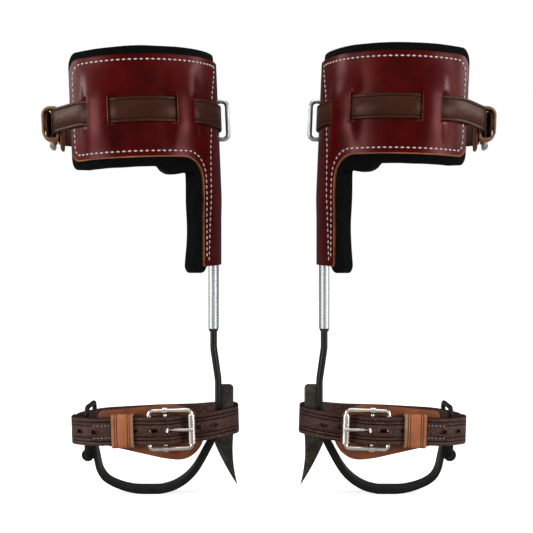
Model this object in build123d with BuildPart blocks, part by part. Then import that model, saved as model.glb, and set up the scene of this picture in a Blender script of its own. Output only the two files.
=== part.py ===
from build123d import *
import os
from math import atan, cos, radians, sin, sqrt, tan

# A pair of tree climbing spikes. Millimetres, +Z up, +X to the right and +Y away from a viewer in front.
# One climber is modelled with its shank on the Z axis, its stirrup towards -X and its gaff towards +X.
# It is then set off to the left, and the right one is its mirror image.

# Pair
shank_spacing = 116.0

# Leg iron: one flat bar with round edges, bent into shank, jog and stirrup
bar_thickness = 6.3
bar_width = 24.0
shank_top = 300.0
jog_top = 152.0
jog_foot = 118.0
jog_offset = 4.9
jog_radius = 40.0
shank_foot = 72.0

# Stirrup: forged from the foot of the shank, thicker on its inner side
# Its places lie along its outside, from the shank to the eye
stirrup_from = 76.0
stirrup_inner = ((4.2, 60.0), (-7.4, 36.9), (-19.9, 18.2), (-32.3, 8.0), (-44.8, 2.4), (-52.5, 0.6))
stirrup_inner_thickness = (7.4, 8.3, 8.2, 8.0, 7.6, 7.35)
sole_flat_from = -60.0
sole_flat_to = -71.0
sole_thickness = 7.2
stirrup_outer = ((-83.0, 1.0), (-95.0, 4.1), (-107.2, 9.2), (-116.6, 16.4), (-121.8, 26.0))
stirrup_outer_thickness = (6.5, 5.6, 5.0, 4.7, 4.6)
arm_top = (-126.5, 58.0)
arm_foot = (-122.0, 37.0)
arm_thickness = 4.6
stirrup_edge_radius = 1.9

# Wire link in the eye of the outer arm
eye_height = 41.0
eye_wall = 4.0
link_wire = 5.0
link_side_gap = 1.0
link_strap_room = 9.0
link_height = 50.0
link_corner_radius = 6.0

# Gaff and its screws
gaff_top = 113.0
gaff_thickness = 12.5
gaff_width = 18.0
gaff_heel = (1.3, 53.0)
gaff_throat = (15.2, 24.0)
gaff_tip = (25.1, 7.6)
gaff_back = (20.2, 36.0)
gaff_waist_height = 60.0
gaff_tip_width = 2.4
gaff_top_radius = 4.5
gaff_edge_radius = 1.2
gaff_screw_heights = (80.0, 103.0)
gaff_screw_diameter = 6.0
gaff_screw_head = 11.0
gaff_screw_grip = 7.5

# Sleeve on the shank
sleeve_thickness = 10.0
sleeve_bore_gap = 0.6
sleeve_bottom = 172.4
sleeve_length = 242.0
sleeve_bend_height = 318.0
sleeve_bend_radius = 300.0
pad_lean = 2.4
bush_insert = 14.0
bush_collar = 3.0
bush_foot_wall = 0.8
height_screw_heights = (255.0, 285.0)
height_screw_diameter = 6.0

# Ring on the back of the sleeve
ring_wire = 4.8
ring_height = 45.0
ring_reach = 19.5
ring_corner_radius = 5.5

# Calf pad: leather shell over a felt liner, half a cylinder with a tab that hangs down over the sleeve
leather_thickness = 2.3
leather_radius = 82.5
leather_rise = 56.5
leather_fall = 45.0
leather_from_angle = 39.0
leather_wrap_angle = 9.0
tab_bottom = 237.0
tab_edge = -9.0
tab_corner_radius = 12.0
pad_corner_radius = 10.0
liner_corner_radius = 4.0
liner_thickness = 14.0
liner_top_rise = 8.2
liner_bottom_drop = 8.0
liner_tab_drop = 5.0
liner_tab_edge = -25.0
liner_lobe_width = 30.0
liner_lobe_drop = 8.5
liner_from_angle = 35.5
liner_back_wrap_angle = 9.0
bridge_angles = {"left": ((60.0, 75.0), (122.0, 135.0)), "right": ((67.0, 80.0), (130.0, 146.0))}
bridge_slit = 3.0
bridge_ramp = 11.0

# Straps
strap_width = 28.0
strap_thickness = 2.8
fold_thickness = 1.6
calf_strap_drop = 22.4
calf_leave_angle = 42.0
calf_ring_angle = 20.0
calf_turn_reach = 33.0
calf_flare = 8.0
calf_bar_setback = 55.0
calf_rear = 100.0
calf_turn_radius = 18.0
calf_ring_bend_radius = 75.0
calf_rear_radius = 30.0
calf_tail_overhang = 6.0
ankle_bar_place = (-46.4, -46.0, 72.0)
ankle_tilt = 2.0
ankle_outer_end = -95.7
ankle_rear_depth = 92.0
ankle_rear_from = -15.0
ankle_rear_to = 35.0
ankle_rear_slant = 4.0
ankle_rear_shoulder = 36.0
ankle_outer_bend = -72.0
ankle_outer_flat = (22.0, -12.0)
ankle_inner_bend = 54.0
ankle_inner_flat = (16.0, -20.0)
ankle_loop_radii = (24.0, 24.0, 24.0, 40.0, 60.0, 40.0, 26.0, 18.0, 24.0)
ankle_tail_flat = (24.0, -6.0)
ankle_tail_radius = 24.0
crossing_radius = 6.0
heel_radius = 8.0
heel_run = 12.0
hole_pitch = 19.5
hole_length = 7.8
hole_height = 3.4
tongue_hole_length = 10.5
tongue_hole_height = 4.2
tongue_lift = 8.0

# Buckles, the same at ankle and calf
frame_wire = 4.5
frame_length = 47.5
frame_height = 43.0
frame_corner_radius = 4.5
bar_to_roller = 26.5
center_bar_diameter = 4.0
knuckle_wall = 1.3
knuckle_length = 5.0
roller_wall = 1.65
roller_length = 29.0
tongue_diameter = 3.2
tongue_eye_wall = 1.85
tongue_eye_width = 6.0
tongue_overhang = 2.5

# Keepers and shields
keeper_width = 22.0
keeper_wall = 2.0
keeper_side_gap = 1.0
ankle_keeper_place = -43.5
calf_keeper_place = -33.0
shield_thickness = 2.5
ankle_shield_corners = (
    (-70.0, 20.0),
    (16.0, 25.5),
    (41.0, 12.0),
    (38.0, -17.0),
    (12.0, -34.5),
    (-62.0, -17.0),
)
ankle_shield_radii = (6.0, 24.0, 12.0, 16.0, 26.0, 6.0)
calf_shield_from = -44.0
calf_shield_length = 70.0
calf_shield_margin = 8.0
calf_shield_radius = 14.0

# Clearances
soft_gap = 0.3
running_gap = 0.1
snug_gap = 0.05

# Sizes that follow from the ones above
eye_bore = link_wire + 2 * running_gap
eye_radius = eye_bore / 2 + eye_wall
arm_slope = (arm_top[0] - arm_foot[0]) / (arm_top[1] - arm_foot[1])
arm_x_at_eye = arm_foot[0] + arm_slope * (eye_height - arm_foot[1])
eye_x = arm_x_at_eye - bar_thickness / 2 - eye_wall - running_gap
shank_face = jog_offset + bar_thickness / 2
gaff_outer = shank_face + gaff_thickness + snug_gap
sleeve_bore = (bar_width + 2 * sleeve_bore_gap, bar_thickness + 2 * sleeve_bore_gap)
sleeve_width = sleeve_bore[0] + 2 * (sleeve_thickness - sleeve_bore[1]) / 2
sleeve_top = sleeve_bottom + sleeve_length
calf_strap_height = sleeve_top - calf_strap_drop
leather_top = calf_strap_height + leather_rise
leather_bottom = calf_strap_height - leather_fall
leather_inner = leather_radius - leather_thickness
sleeve_flat = (sleeve_width - sleeve_thickness) / 2
leather_bow = leather_inner - sqrt(leather_inner**2 - sleeve_flat**2)
pad_x = sleeve_thickness / 2 + soft_gap + leather_bow - leather_inner
liner_radius = leather_inner - soft_gap
liner_inner = liner_radius - liner_thickness
calf_strap_radius = leather_radius + soft_gap + strap_thickness / 2
bar_radius = center_bar_diameter / 2
wire_radius = frame_wire / 2
roller_radius = wire_radius + running_gap + roller_wall
fold_inner = bar_radius + soft_gap / 2
fold_outer = fold_inner + fold_thickness
layer_w = -(wire_radius + soft_gap / 2 + strap_thickness / 2)
behind_roller_w = -(roller_radius + soft_gap + strap_thickness / 2)
over_bar_w = fold_outer + soft_gap + strap_thickness / 2
over_heel_w = over_bar_w - 2 * soft_gap
tail_w = layer_w + strap_thickness + soft_gap
ankle_middle = -ankle_rear_depth / 2
link_u = eye_x - ankle_bar_place[0]
link_share = (link_u - ankle_outer_end) / (ankle_outer_bend - ankle_outer_end)
link_strap_w = ankle_middle + ankle_outer_flat[1] - link_share * (ankle_rear_shoulder + ankle_outer_flat[1])
link_front = -(bar_width / 2 + link_corner_radius + link_side_gap)
link_back = ankle_bar_place[1] - link_strap_w + link_strap_room
heel_u = bar_to_roller + frame_wire - frame_length
shield_w = layer_w - strap_thickness / 2 - keeper_wall - 2 * soft_gap
knuckle_radius = wire_radius + snug_gap + knuckle_wall
side_rod_v = frame_height / 2 - wire_radius
tongue_root_w = tongue_diameter / 5
tongue_on_roller_w = roller_radius + soft_gap + tongue_diameter / 2
tongue_slope = (tongue_on_roller_w - tongue_root_w) / bar_to_roller
roller_clear_u = bar_to_roller - 2 * roller_radius
climb_slope = (over_bar_w - behind_roller_w) / (fold_outer - roller_clear_u)
lifted_slope = tan(atan(tongue_slope) + radians(tongue_lift / 2))
tongue_hole_u = (over_bar_w - climb_slope * fold_outer - tongue_root_w) / (lifted_slope - climb_slope)
tongue_hole_w = tongue_root_w + lifted_slope * tongue_hole_u

# The pad leans outwards from the bend in its sleeve, with all that it carries
lean_place = Location((0, 0, sleeve_bend_height), (0, -pad_lean, 0)) * Location((0, 0, -sleeve_bend_height))

# A buckle's seat is a plane at its centre bar: u runs along the strap, v across it and w outwards
ankle_seat = Plane(
    origin=ankle_bar_place,
    x_dir=(cos(radians(ankle_tilt)), 0, sin(radians(ankle_tilt))),
    z_dir=(0, -1, 0),
)
leave_turn = radians(calf_leave_angle)
leave_way = Vector(cos(leave_turn), sin(leave_turn), 0)
calf_leave = Vector(pad_x, 0, calf_strap_height) - leave_way * calf_strap_radius
calf_turn = calf_leave + Vector(-sin(leave_turn), cos(leave_turn), 0) * calf_turn_reach
calf_u = Vector(-sin(radians(calf_flare)), cos(radians(calf_flare)), 0)
calf_w = Vector(-cos(radians(calf_flare)), -sin(radians(calf_flare)), 0)
calf_seat = Plane(
    origin=calf_turn + calf_u * calf_bar_setback - calf_w * layer_w,
    x_dir=calf_u,
    z_dir=calf_w,
)


def on_seat(seat, points):
    """Points given as (u, w) on a buckle's seat, as points in space."""
    return [seat.from_local_coords(Vector(u, 0, w)) for u, w in points]


def across_seat(seat, u):
    """A plane square to the strap at u, with w and v as its own directions."""
    return Plane(origin=seat.from_local_coords(Vector(u, 0, 0)), x_dir=seat.z_dir, z_dir=seat.x_dir)


def radial_plane(angle, height):
    """A plane through the pad's axis, whose directions are the radius and the height. 0 is the outer side."""
    turn = radians(180 + angle)
    return Plane(
        origin=(pad_x, 0, height), x_dir=(cos(turn), sin(turn), 0), z_dir=(sin(turn), -cos(turn), 0)
    )


def pad_sector(outer, inner, from_angle, back_wrap):
    """The plan of a part cylinder about the pad's axis, from an outer angle to past the sleeve."""
    span = 180 + back_wrap - from_angle
    with BuildSketch() as sector:
        with BuildLine():
            rim = CenterArc((pad_x, 0), outer, back_wrap - span, span)
            hollow = CenterArc((pad_x, 0), inner, back_wrap - span, span)
            Line(rim @ 0, hollow @ 0)
            Line(rim @ 1, hollow @ 1)
        make_face()
    return sector.sketch


def make_wire_loop(plane, middle, width, height, corner_radius, wire):
    """A closed loop of round wire: a rectangle with round corners, sized to the wire's middle."""
    left, right = middle[0] - width / 2, middle[0] + width / 2
    low, high = middle[1] - height / 2, middle[1] + height / 2
    with BuildPart() as wire_loop:
        with BuildLine(plane) as loop:
            FilletPolyline(
                (left, low), (right, low), (right, high), (left, high), radius=corner_radius, close=True
            )
        path = loop.wire()
        with BuildSketch(Plane(origin=path @ 0, z_dir=path % 0)):
            Circle(wire / 2)
        sweep(path=path)
    return wire_loop.part


# Leg iron and what is screwed or hung on it


def inner_side(before, place, after, thickness):
    """The place across the stirrup from one on its outside, square to the way there."""
    way = Vector(after[0] - before[0], after[1] - before[1]).normalized()
    return (place[0] + way.Y * thickness, place[1] - way.X * thickness)


def stirrup_insides(start, places, end, thicknesses):
    line = (start, *places, end)
    return [inner_side(*line[i : i + 3], thickness) for i, thickness in enumerate(thicknesses)]


def make_stirrup():
    """The forged stirrup, drawn from the side and given its width, with eased long edges."""
    top_outer = (shank_face, stirrup_from)
    top_inner = (shank_face - bar_thickness, stirrup_from)
    arm_way = Vector(arm_top[0] - arm_foot[0], arm_top[1] - arm_foot[1]).normalized()
    arm_across = Vector(arm_way.Y, -arm_way.X) * (arm_thickness / 2)
    arm_outer = [(x - arm_across.X, z - arm_across.Y) for x, z in (arm_foot, arm_top)]
    arm_inner = [(x + arm_across.X, z + arm_across.Y) for x, z in (arm_foot, arm_top)]
    flat_outer = ((sole_flat_from, 0), (sole_flat_to, 0))
    flat_inner = ((sole_flat_from, sole_thickness), (sole_flat_to, sole_thickness))
    insides = stirrup_insides(top_outer, stirrup_inner, flat_outer[0], stirrup_inner_thickness)
    outsides = stirrup_insides(flat_outer[1], stirrup_outer, arm_outer[0], stirrup_outer_thickness)
    down, level, up = (0, -1), (-1, 0), (arm_way.X, arm_way.Y)
    with BuildPart() as stirrup:
        with BuildSketch(Plane.XZ.offset(-bar_width / 2)):
            with BuildLine():
                Spline(top_outer, *stirrup_inner, flat_outer[0], tangents=(down, level))
                Line(*flat_outer)
                Spline(flat_outer[1], *stirrup_outer, arm_outer[0], tangents=(level, up))
                Polyline(*arm_outer, *reversed(arm_inner))
                Spline(flat_inner[1], *outsides, arm_inner[0], tangents=(level, up))
                Line(*flat_inner)
                Spline(top_inner, *insides, flat_inner[0], tangents=(down, level))
                Line(top_inner, top_outer)
            make_face()
        extrude(amount=bar_width)
        arm_end = Plane((arm_top[0], 0, arm_top[1]), z_dir=(arm_way.X, 0, arm_way.Y))
        ends = (Plane.XY.offset(stirrup_from), arm_end)
        long_edges = [
            edge
            for edge in stirrup.edges()
            if abs((edge @ 1 - edge @ 0).Y) < 0.1
            and all(abs(end.to_local_coords(edge @ 0.5).Z) > 0.1 for end in ends)
        ]
        fillet(long_edges, stirrup_edge_radius)
    return stirrup.part


def make_leg_iron():
    with BuildPart() as leg_iron:
        with BuildLine(Plane.XZ) as bend_line:
            FilletPolyline(
                (0, shank_top),
                (0, jog_top),
                (jog_offset, jog_foot),
                (jog_offset, shank_foot),
                radius=jog_radius,
            )
        with BuildSketch(Plane.XY.offset(shank_top)):
            SlotOverall(bar_width, bar_thickness, rotation=90)
        sweep(path=bend_line.wire())
        add(make_stirrup())
        with BuildSketch(Plane.XZ.offset(-bar_width / 2)):
            with Locations((eye_x, eye_height)):
                Circle(eye_radius)
        extrude(amount=bar_width)
        with BuildSketch(Plane.XZ.offset(-bar_width / 2)):
            with Locations((eye_x, eye_height)):
                Circle(eye_bore / 2)
        extrude(amount=bar_width, mode=Mode.SUBTRACT)
        for height in gaff_screw_heights:
            with Locations(Plane((shank_face - bar_thickness, 0, height), x_dir=(0, 1, 0), z_dir=(-1, 0, 0))):
                CounterSinkHole(
                    gaff_screw_diameter / 2 + running_gap,
                    gaff_screw_head / 2 + running_gap,
                    depth=bar_thickness,
                    counter_sink_angle=90,
                )
    return leg_iron.part


def make_gaff():
    seat = shank_face + snug_gap
    heel_from, heel_to = stirrup_inner[:2]
    heel_rise = (heel_from[0] - heel_to[0]) / (heel_from[1] - heel_to[1])
    seat_foot = gaff_heel[1] + (seat - gaff_heel[0]) / heel_rise
    with BuildPart() as gaff:
        with BuildSketch(Plane.XZ.offset(-gaff_width / 2)) as outline:
            with BuildLine():
                Polyline((gaff_outer, gaff_waist_height), (gaff_outer, gaff_top), (seat, gaff_top))
                Polyline((seat, gaff_top), (seat, seat_foot), gaff_heel)
                ThreePointArc(gaff_heel, gaff_throat, gaff_tip)
                ThreePointArc(gaff_tip, gaff_back, (gaff_outer, gaff_waist_height))
            make_face()
            fillet(outline.vertices().group_by(Axis.Y)[-1].sort_by(Axis.X)[-1], gaff_top_radius)
        extrude(amount=gaff_width)
        # The two flanks taper from the waist to the point.
        with BuildSketch(Plane.YZ):
            with BuildLine():
                Polyline(
                    (gaff_tip_width / 2, gaff_tip[1]),
                    (gaff_width / 2, gaff_waist_height),
                    (gaff_width, gaff_waist_height),
                    (gaff_width, 0),
                    (gaff_tip_width / 2, 0),
                    close=True,
                )
            make_face()
            mirror(about=Plane.YZ)
        extrude(amount=2 * gaff_outer, both=True, mode=Mode.SUBTRACT)
        with Locations(
            *[Plane((seat, 0, z), x_dir=(0, 1, 0), z_dir=(-1, 0, 0)) for z in gaff_screw_heights]
        ):
            Hole(gaff_screw_diameter / 2 + snug_gap, depth=gaff_screw_grip + soft_gap)
        fillet(gaff.faces().sort_by(Axis.X)[-1].edges().filter_by(Axis.Z), gaff_edge_radius)
    return gaff.part


def make_gaff_screws():
    head_face = shank_face - bar_thickness
    head_drop = (gaff_screw_head - gaff_screw_diameter) / 2
    with BuildPart() as gaff_screws:
        for height in gaff_screw_heights:
            with BuildSketch(Plane((head_face, 0, height), x_dir=(0, 1, 0), z_dir=(0, 0, 1))):
                with BuildLine():
                    Polyline(
                        (0, 0),
                        (gaff_screw_head / 2, 0),
                        (gaff_screw_diameter / 2, -head_drop),
                        (gaff_screw_diameter / 2, -bar_thickness - gaff_screw_grip),
                        (0, -bar_thickness - gaff_screw_grip),
                        close=True,
                    )
                make_face()
            revolve(axis=Axis((head_face, 0, height), (1, 0, 0)))
            with BuildSketch(Plane((head_face, 0, height), x_dir=(0, 1, 0), z_dir=(1, 0, 0))):
                RegularPolygon(gaff_screw_diameter / 3, 6)
            extrude(amount=head_drop, mode=Mode.SUBTRACT)
    return gaff_screws.part


def make_strap_link():
    return make_wire_loop(
        Plane.YZ.offset(eye_x),
        ((link_front + link_back) / 2, eye_height + link_height / 2),
        link_back - link_front,
        link_height,
        link_corner_radius,
        link_wire,
    )


# Sleeve and what is fixed to it


def make_sleeve():
    lean_run = (sleeve_top - sleeve_bend_height) * tan(radians(pad_lean))
    with BuildPart() as sleeve:
        with BuildLine(Plane.XZ) as bend_line:
            FilletPolyline(
                (0, sleeve_bottom),
                (0, sleeve_bend_height),
                (-lean_run, sleeve_top),
                radius=sleeve_bend_radius,
            )
        with BuildSketch(Plane.XY.offset(sleeve_bottom)):
            SlotOverall(sleeve_width, sleeve_thickness, rotation=90)
            SlotOverall(*sleeve_bore, rotation=90, mode=Mode.SUBTRACT)
        sweep(path=bend_line.wire())
        for height in height_screw_heights:
            with Locations(Plane((-sleeve_thickness / 2, 0, height), x_dir=(0, 1, 0), z_dir=(-1, 0, 0))):
                Hole(height_screw_diameter / 2 + snug_gap, depth=sleeve_thickness / 2)
    return sleeve.part


def make_sleeve_bush():
    bore = (bar_width + 2 * running_gap, bar_thickness + 2 * running_gap)
    foot = (bore[0] + 2 * bush_foot_wall, bore[1] + 2 * bush_foot_wall)
    with BuildPart() as sleeve_bush:
        with BuildSketch(Plane.XY.offset(sleeve_bottom)):
            SlotOverall(sleeve_bore[0] - 2 * snug_gap, sleeve_bore[1] - 2 * snug_gap, rotation=90)
        extrude(amount=bush_insert)
        with BuildSketch(Plane.XY.offset(sleeve_bottom)):
            SlotOverall(sleeve_width, sleeve_thickness, rotation=90)
        with BuildSketch(Plane.XY.offset(sleeve_bottom - bush_collar)):
            SlotOverall(*foot, rotation=90)
        loft()
        with BuildSketch(Plane.XY.offset(sleeve_bottom - bush_collar)):
            SlotOverall(*bore, rotation=90)
        extrude(amount=bush_collar + bush_insert, mode=Mode.SUBTRACT)
    return sleeve_bush.part


def make_height_screws():
    with BuildPart() as height_screws:
        for height in height_screw_heights:
            with BuildSketch(Plane((-sleeve_thickness / 2, 0, height), x_dir=(0, 1, 0), z_dir=(1, 0, 0))):
                Circle(height_screw_diameter / 2)
                RegularPolygon(height_screw_diameter / 4, 6, mode=Mode.SUBTRACT)
            extrude(amount=(sleeve_thickness - bar_thickness) / 2 - running_gap)
    return height_screws.part


def make_calf_ring():
    plane_y = sleeve_width / 2 + ring_wire / 2 + snug_gap
    width = ring_reach - ring_wire / 2
    return make_wire_loop(
        Plane.XZ.offset(-plane_y),
        (width / 2, calf_strap_height),
        width,
        ring_height - ring_wire,
        ring_corner_radius,
        ring_wire,
    )


def make_pad_wrap(outer, inner, from_angle, back_wrap, top, bottom, side_edge, corner_radius):
    """The wrap of a pad layer and the upper end of its tab, before the lean."""
    with BuildPart() as wrap:
        with BuildSketch(Plane.XY.offset(sleeve_bend_height)):
            add(pad_sector(outer, inner, from_angle, back_wrap))
        extrude(amount=top - sleeve_bend_height)
        # The front is cut away below the wrap, beside the tab.
        with BuildSketch(Plane.XZ) as notch:
            with Locations((side_edge, bottom)):
                Rectangle(4 * outer, 2 * bottom, align=(Align.MAX, Align.MAX))
            fillet(notch.vertices().group_by(Axis.Y)[-1].sort_by(Axis.X)[-1], corner_radius)
        extrude(amount=2 * outer, both=True, mode=Mode.SUBTRACT)
        free_edges = wrap.edges().filter_by(Plane.XY).filter_by(GeomType.LINE).group_by(Axis.X)[0]
        fillet(free_edges, pad_corner_radius)
    return wrap.part


def make_pad_tab(section, bottom):
    """The tab of a pad layer, which hangs straight down over the sleeve from the foot of the leaning wrap."""
    foot = section.moved(Location((0, 0, bottom)))
    head = section.moved(lean_place * Location((0, 0, sleeve_bend_height)))
    with BuildPart() as tab:
        loft(sections=[foot.face(), head.face()])
    return tab.part


def make_pad_leather(side):
    slit_half = strap_width / 2 + bridge_slit
    under = leather_radius + strap_thickness + 2 * soft_gap
    over = under + leather_thickness
    plan = (leather_radius, leather_inner, leather_from_angle, leather_wrap_angle)
    pad_axis = Axis((pad_x, 0, 0), (0, 0, 1))
    with BuildPart() as wrap:
        add(make_pad_wrap(*plan, leather_top, leather_bottom, tab_edge, tab_corner_radius))
        # Each bridge is a strip between two slits, lifted over the strap.
        for start, end in bridge_angles[side]:
            with BuildSketch(radial_plane(start, calf_strap_height)):
                Rectangle(2 * over, 2 * slit_half, align=(Align.MIN, Align.CENTER))
            revolve(axis=pad_axis, revolution_arc=end - start, mode=Mode.SUBTRACT)
            with BuildSketch(radial_plane(start, calf_strap_height)):
                with BuildLine():
                    Polyline(
                        (leather_inner, slit_half),
                        (leather_inner, slit_half + bridge_ramp),
                        (leather_radius, slit_half + bridge_ramp),
                        (over, slit_half),
                        (over, 0),
                        (under, 0),
                        (under, strap_width / 2 + soft_gap),
                        close=True,
                    )
                make_face()
                mirror(about=Plane.XZ)
            revolve(axis=pad_axis, revolution_arc=end - start)
    with BuildSketch() as section:
        add(pad_sector(*plan))
        with Locations((tab_edge, 0)):
            Rectangle(
                4 * leather_radius,
                4 * leather_radius,
                align=(Align.MAX, Align.CENTER),
                mode=Mode.SUBTRACT,
            )
    with BuildPart() as pad_leather:
        add(wrap.part.moved(lean_place))
        add(make_pad_tab(section.sketch, tab_bottom))
    return pad_leather.part


def make_pad_liner():
    top = leather_top + liner_top_rise
    bottom = leather_bottom - liner_bottom_drop
    base = tab_bottom - liner_tab_drop
    plan = (liner_radius, liner_inner, liner_from_angle, liner_back_wrap_angle)
    channel = sleeve_width / 2 + soft_gap
    channel_x = -sleeve_thickness / 2 - soft_gap
    with BuildPart() as wrap:
        add(make_pad_wrap(*plan, top, bottom, liner_tab_edge, liner_corner_radius))
        # A lobe hangs under the wrap beside the tab, and a channel takes the sleeve and its ring.
        with BuildSketch(Plane.XY.offset(bottom - liner_lobe_drop)):
            add(pad_sector(liner_radius, liner_inner, liner_from_angle, liner_back_wrap_angle))
            with Locations((liner_tab_edge, 0)):
                Rectangle(
                    liner_lobe_width,
                    4 * liner_radius,
                    align=(Align.MAX, Align.CENTER),
                    mode=Mode.INTERSECT,
                )
        extrude(amount=2 * liner_lobe_drop)
        with BuildSketch(Plane.XY.offset(sleeve_bend_height)):
            with Locations((channel_x, -channel)):
                Rectangle(2 * sleeve_thickness, 4 * channel, align=(Align.MIN, Align.MIN))
        extrude(amount=sleeve_top + soft_gap - sleeve_bend_height, mode=Mode.SUBTRACT)
    with BuildSketch() as section:
        add(pad_sector(*plan))
        with Locations((liner_tab_edge, 0)):
            Rectangle(4 * liner_radius, 4 * liner_radius, align=(Align.MAX, Align.CENTER), mode=Mode.SUBTRACT)
        with Locations((channel_x, -channel)):
            Rectangle(2 * sleeve_thickness, 4 * channel, align=(Align.MIN, Align.MIN), mode=Mode.SUBTRACT)
    with BuildPart() as pad_liner:
        add(wrap.part.moved(lean_place))
        add(make_pad_tab(section.sketch, base))
    return pad_liner.part


# Straps


def buckle_crossing():
    """The tail's way, as (u, w): behind the roller, up through the frame and over the centre bar."""
    return [(roller_clear_u, behind_roller_w), (fold_outer, over_bar_w)]


def tongue_hole(seat):
    """The hole that the tongue goes through, as (place, direction, length, height), where the tail climbs."""
    low, high = on_seat(seat, buckle_crossing())
    place = on_seat(seat, [(tongue_hole_u, tongue_hole_w)])[0]
    return (place, high - low, tongue_hole_length, tongue_hole_height)


def make_strap(seat, route, holes):
    """A strap along a route, with holes. Its start is skived and turned round the buckle's centre bar."""
    plan = Plane(origin=seat.origin - seat.y_dir * strap_width / 2, x_dir=seat.x_dir, z_dir=seat.y_dir)
    eye_room = bar_radius + snug_gap + tongue_eye_wall + soft_gap
    with BuildPart() as strap:
        with BuildSketch(Plane(origin=route @ 0, x_dir=seat.y_dir, z_dir=route % 0)):
            Rectangle(strap_width, strap_thickness)
        sweep(path=route)
        with BuildSketch(plan):
            Circle(fold_outer)
        extrude(amount=strap_width)
        with BuildSketch(plan):
            Circle(fold_inner)
        extrude(amount=strap_width, mode=Mode.SUBTRACT)
        with BuildSketch(seat.offset(-eye_room)):
            Rectangle(4 * fold_outer, tongue_eye_width + 2 * keeper_side_gap)
        extrude(amount=2 * eye_room, mode=Mode.SUBTRACT)
        for place, along, length, height in holes:
            with BuildSketch(Plane(origin=place, x_dir=along, z_dir=seat.y_dir.cross(along))):
                SlotOverall(length, height)
            extrude(amount=strap_thickness, both=True, mode=Mode.SUBTRACT)
    return strap.part


def make_ankle_strap():
    tail_turn = ankle_outer_end - strap_thickness - soft_gap
    lean = strap_width / 2 * sin(radians(ankle_tilt))
    inner_end = gaff_outer + lean + soft_gap + strap_thickness / 2 - ankle_bar_place[0]
    layer = [
        (fold_outer, layer_w),
        (ankle_outer_bend, layer_w),
        (ankle_outer_end, ankle_middle + ankle_outer_flat[0]),
        (ankle_outer_end, ankle_middle + ankle_outer_flat[1]),
        (ankle_outer_bend, ankle_middle - ankle_rear_shoulder),
        (ankle_rear_from, -ankle_rear_depth),
        (ankle_rear_to, ankle_rear_slant - ankle_rear_depth),
        (inner_end, ankle_middle + ankle_inner_flat[1]),
        (inner_end, ankle_middle + ankle_inner_flat[0]),
        (ankle_inner_bend, behind_roller_w),
        *buckle_crossing(),
    ]
    tail = [
        (heel_u, over_heel_w),
        (heel_u - heel_run, tail_w),
        (ankle_outer_bend - soft_gap - strap_thickness / 2, tail_w),
        (tail_turn, ankle_middle + ankle_tail_flat[0]),
        (tail_turn, ankle_middle + ankle_tail_flat[1]),
    ]
    tail_radii = (heel_radius, heel_radius, ankle_tail_radius, ankle_tail_radius)
    with BuildLine() as route:
        FilletPolyline(
            *on_seat(ankle_seat, layer + tail),
            radius=(*ankle_loop_radii, crossing_radius, crossing_radius, *tail_radii),
        )
    with BuildLine() as tail_line:
        FilletPolyline(*on_seat(ankle_seat, layer[-1:] + tail), radius=tail_radii)
    tail_wire = tail_line.wire()
    holes = [tongue_hole(ankle_seat)]
    climb_left = (tail_wire @ 0 - holes[0][0]).length
    for count in range(1, int((tail_wire.length + climb_left) / hole_pitch)):
        share = (count * hole_pitch - climb_left) / tail_wire.length
        holes.append((tail_wire @ share, tail_wire % share, hole_length, hole_height))
    for count in (1, 2):
        place = on_seat(ankle_seat, [(tongue_hole_u + count * hole_pitch, behind_roller_w)])[0]
        holes.append((place, ankle_seat.x_dir, hole_length, hole_height))
    return make_strap(ankle_seat, route.wire(), holes)


def make_calf_strap():
    axis = Vector(pad_x, 0, calf_strap_height)
    end = radians(calf_ring_angle)
    ring_exit = axis + Vector(cos(end), sin(end), 0) * calf_strap_radius
    rear_run = calf_rear - ring_exit.Y
    rear_corner = ring_exit + Vector(-tan(end) * rear_run, rear_run, 0)
    lead_in = on_seat(calf_seat, [(fold_outer, layer_w), (-calf_bar_setback, layer_w)])
    flare = radians(calf_flare)
    rear_u = (calf_rear - calf_seat.origin.Y + behind_roller_w * sin(flare)) / cos(flare)
    tail = [(rear_u, behind_roller_w)] + buckle_crossing()
    tail_end_u = calf_keeper_place - keeper_width / 2 - calf_tail_overhang
    tail_end = [(heel_u, over_heel_w), (tail_end_u, over_heel_w - soft_gap)]
    with BuildLine() as route:
        FilletPolyline(*lead_in, calf_leave, radius=[calf_turn_radius])
        CenterArc(axis, calf_strap_radius, 180 + calf_leave_angle, 180 - calf_leave_angle + calf_ring_angle)
        FilletPolyline(
            ring_exit,
            rear_corner,
            *on_seat(calf_seat, tail + tail_end),
            radius=(calf_ring_bend_radius, calf_rear_radius, crossing_radius, crossing_radius, heel_radius),
        )
    return make_strap(calf_seat, route.wire(), [tongue_hole(calf_seat)])


# Buckles


def make_buckle_frame(seat):
    return make_wire_loop(
        seat,
        ((bar_to_roller + heel_u) / 2, 0),
        frame_length - frame_wire,
        frame_height - frame_wire,
        frame_corner_radius,
        frame_wire,
    )


def make_buckle_bar(seat):
    plan = Plane(origin=seat.origin, x_dir=seat.x_dir, z_dir=seat.y_dir)
    with BuildPart() as buckle_bar:
        with BuildSketch(plan):
            Circle(bar_radius)
        extrude(amount=side_rod_v, both=True)
        for v in (-side_rod_v, side_rod_v):
            knuckle = across_seat(seat, 0).shift_origin(seat.from_local_coords(Vector(0, v, 0)))
            with BuildSketch(knuckle):
                Circle(knuckle_radius)
            extrude(amount=knuckle_length / 2, both=True)
            with BuildSketch(knuckle):
                Circle(wire_radius + snug_gap)
            extrude(amount=knuckle_length, both=True, mode=Mode.SUBTRACT)
    return buckle_bar.part


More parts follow.
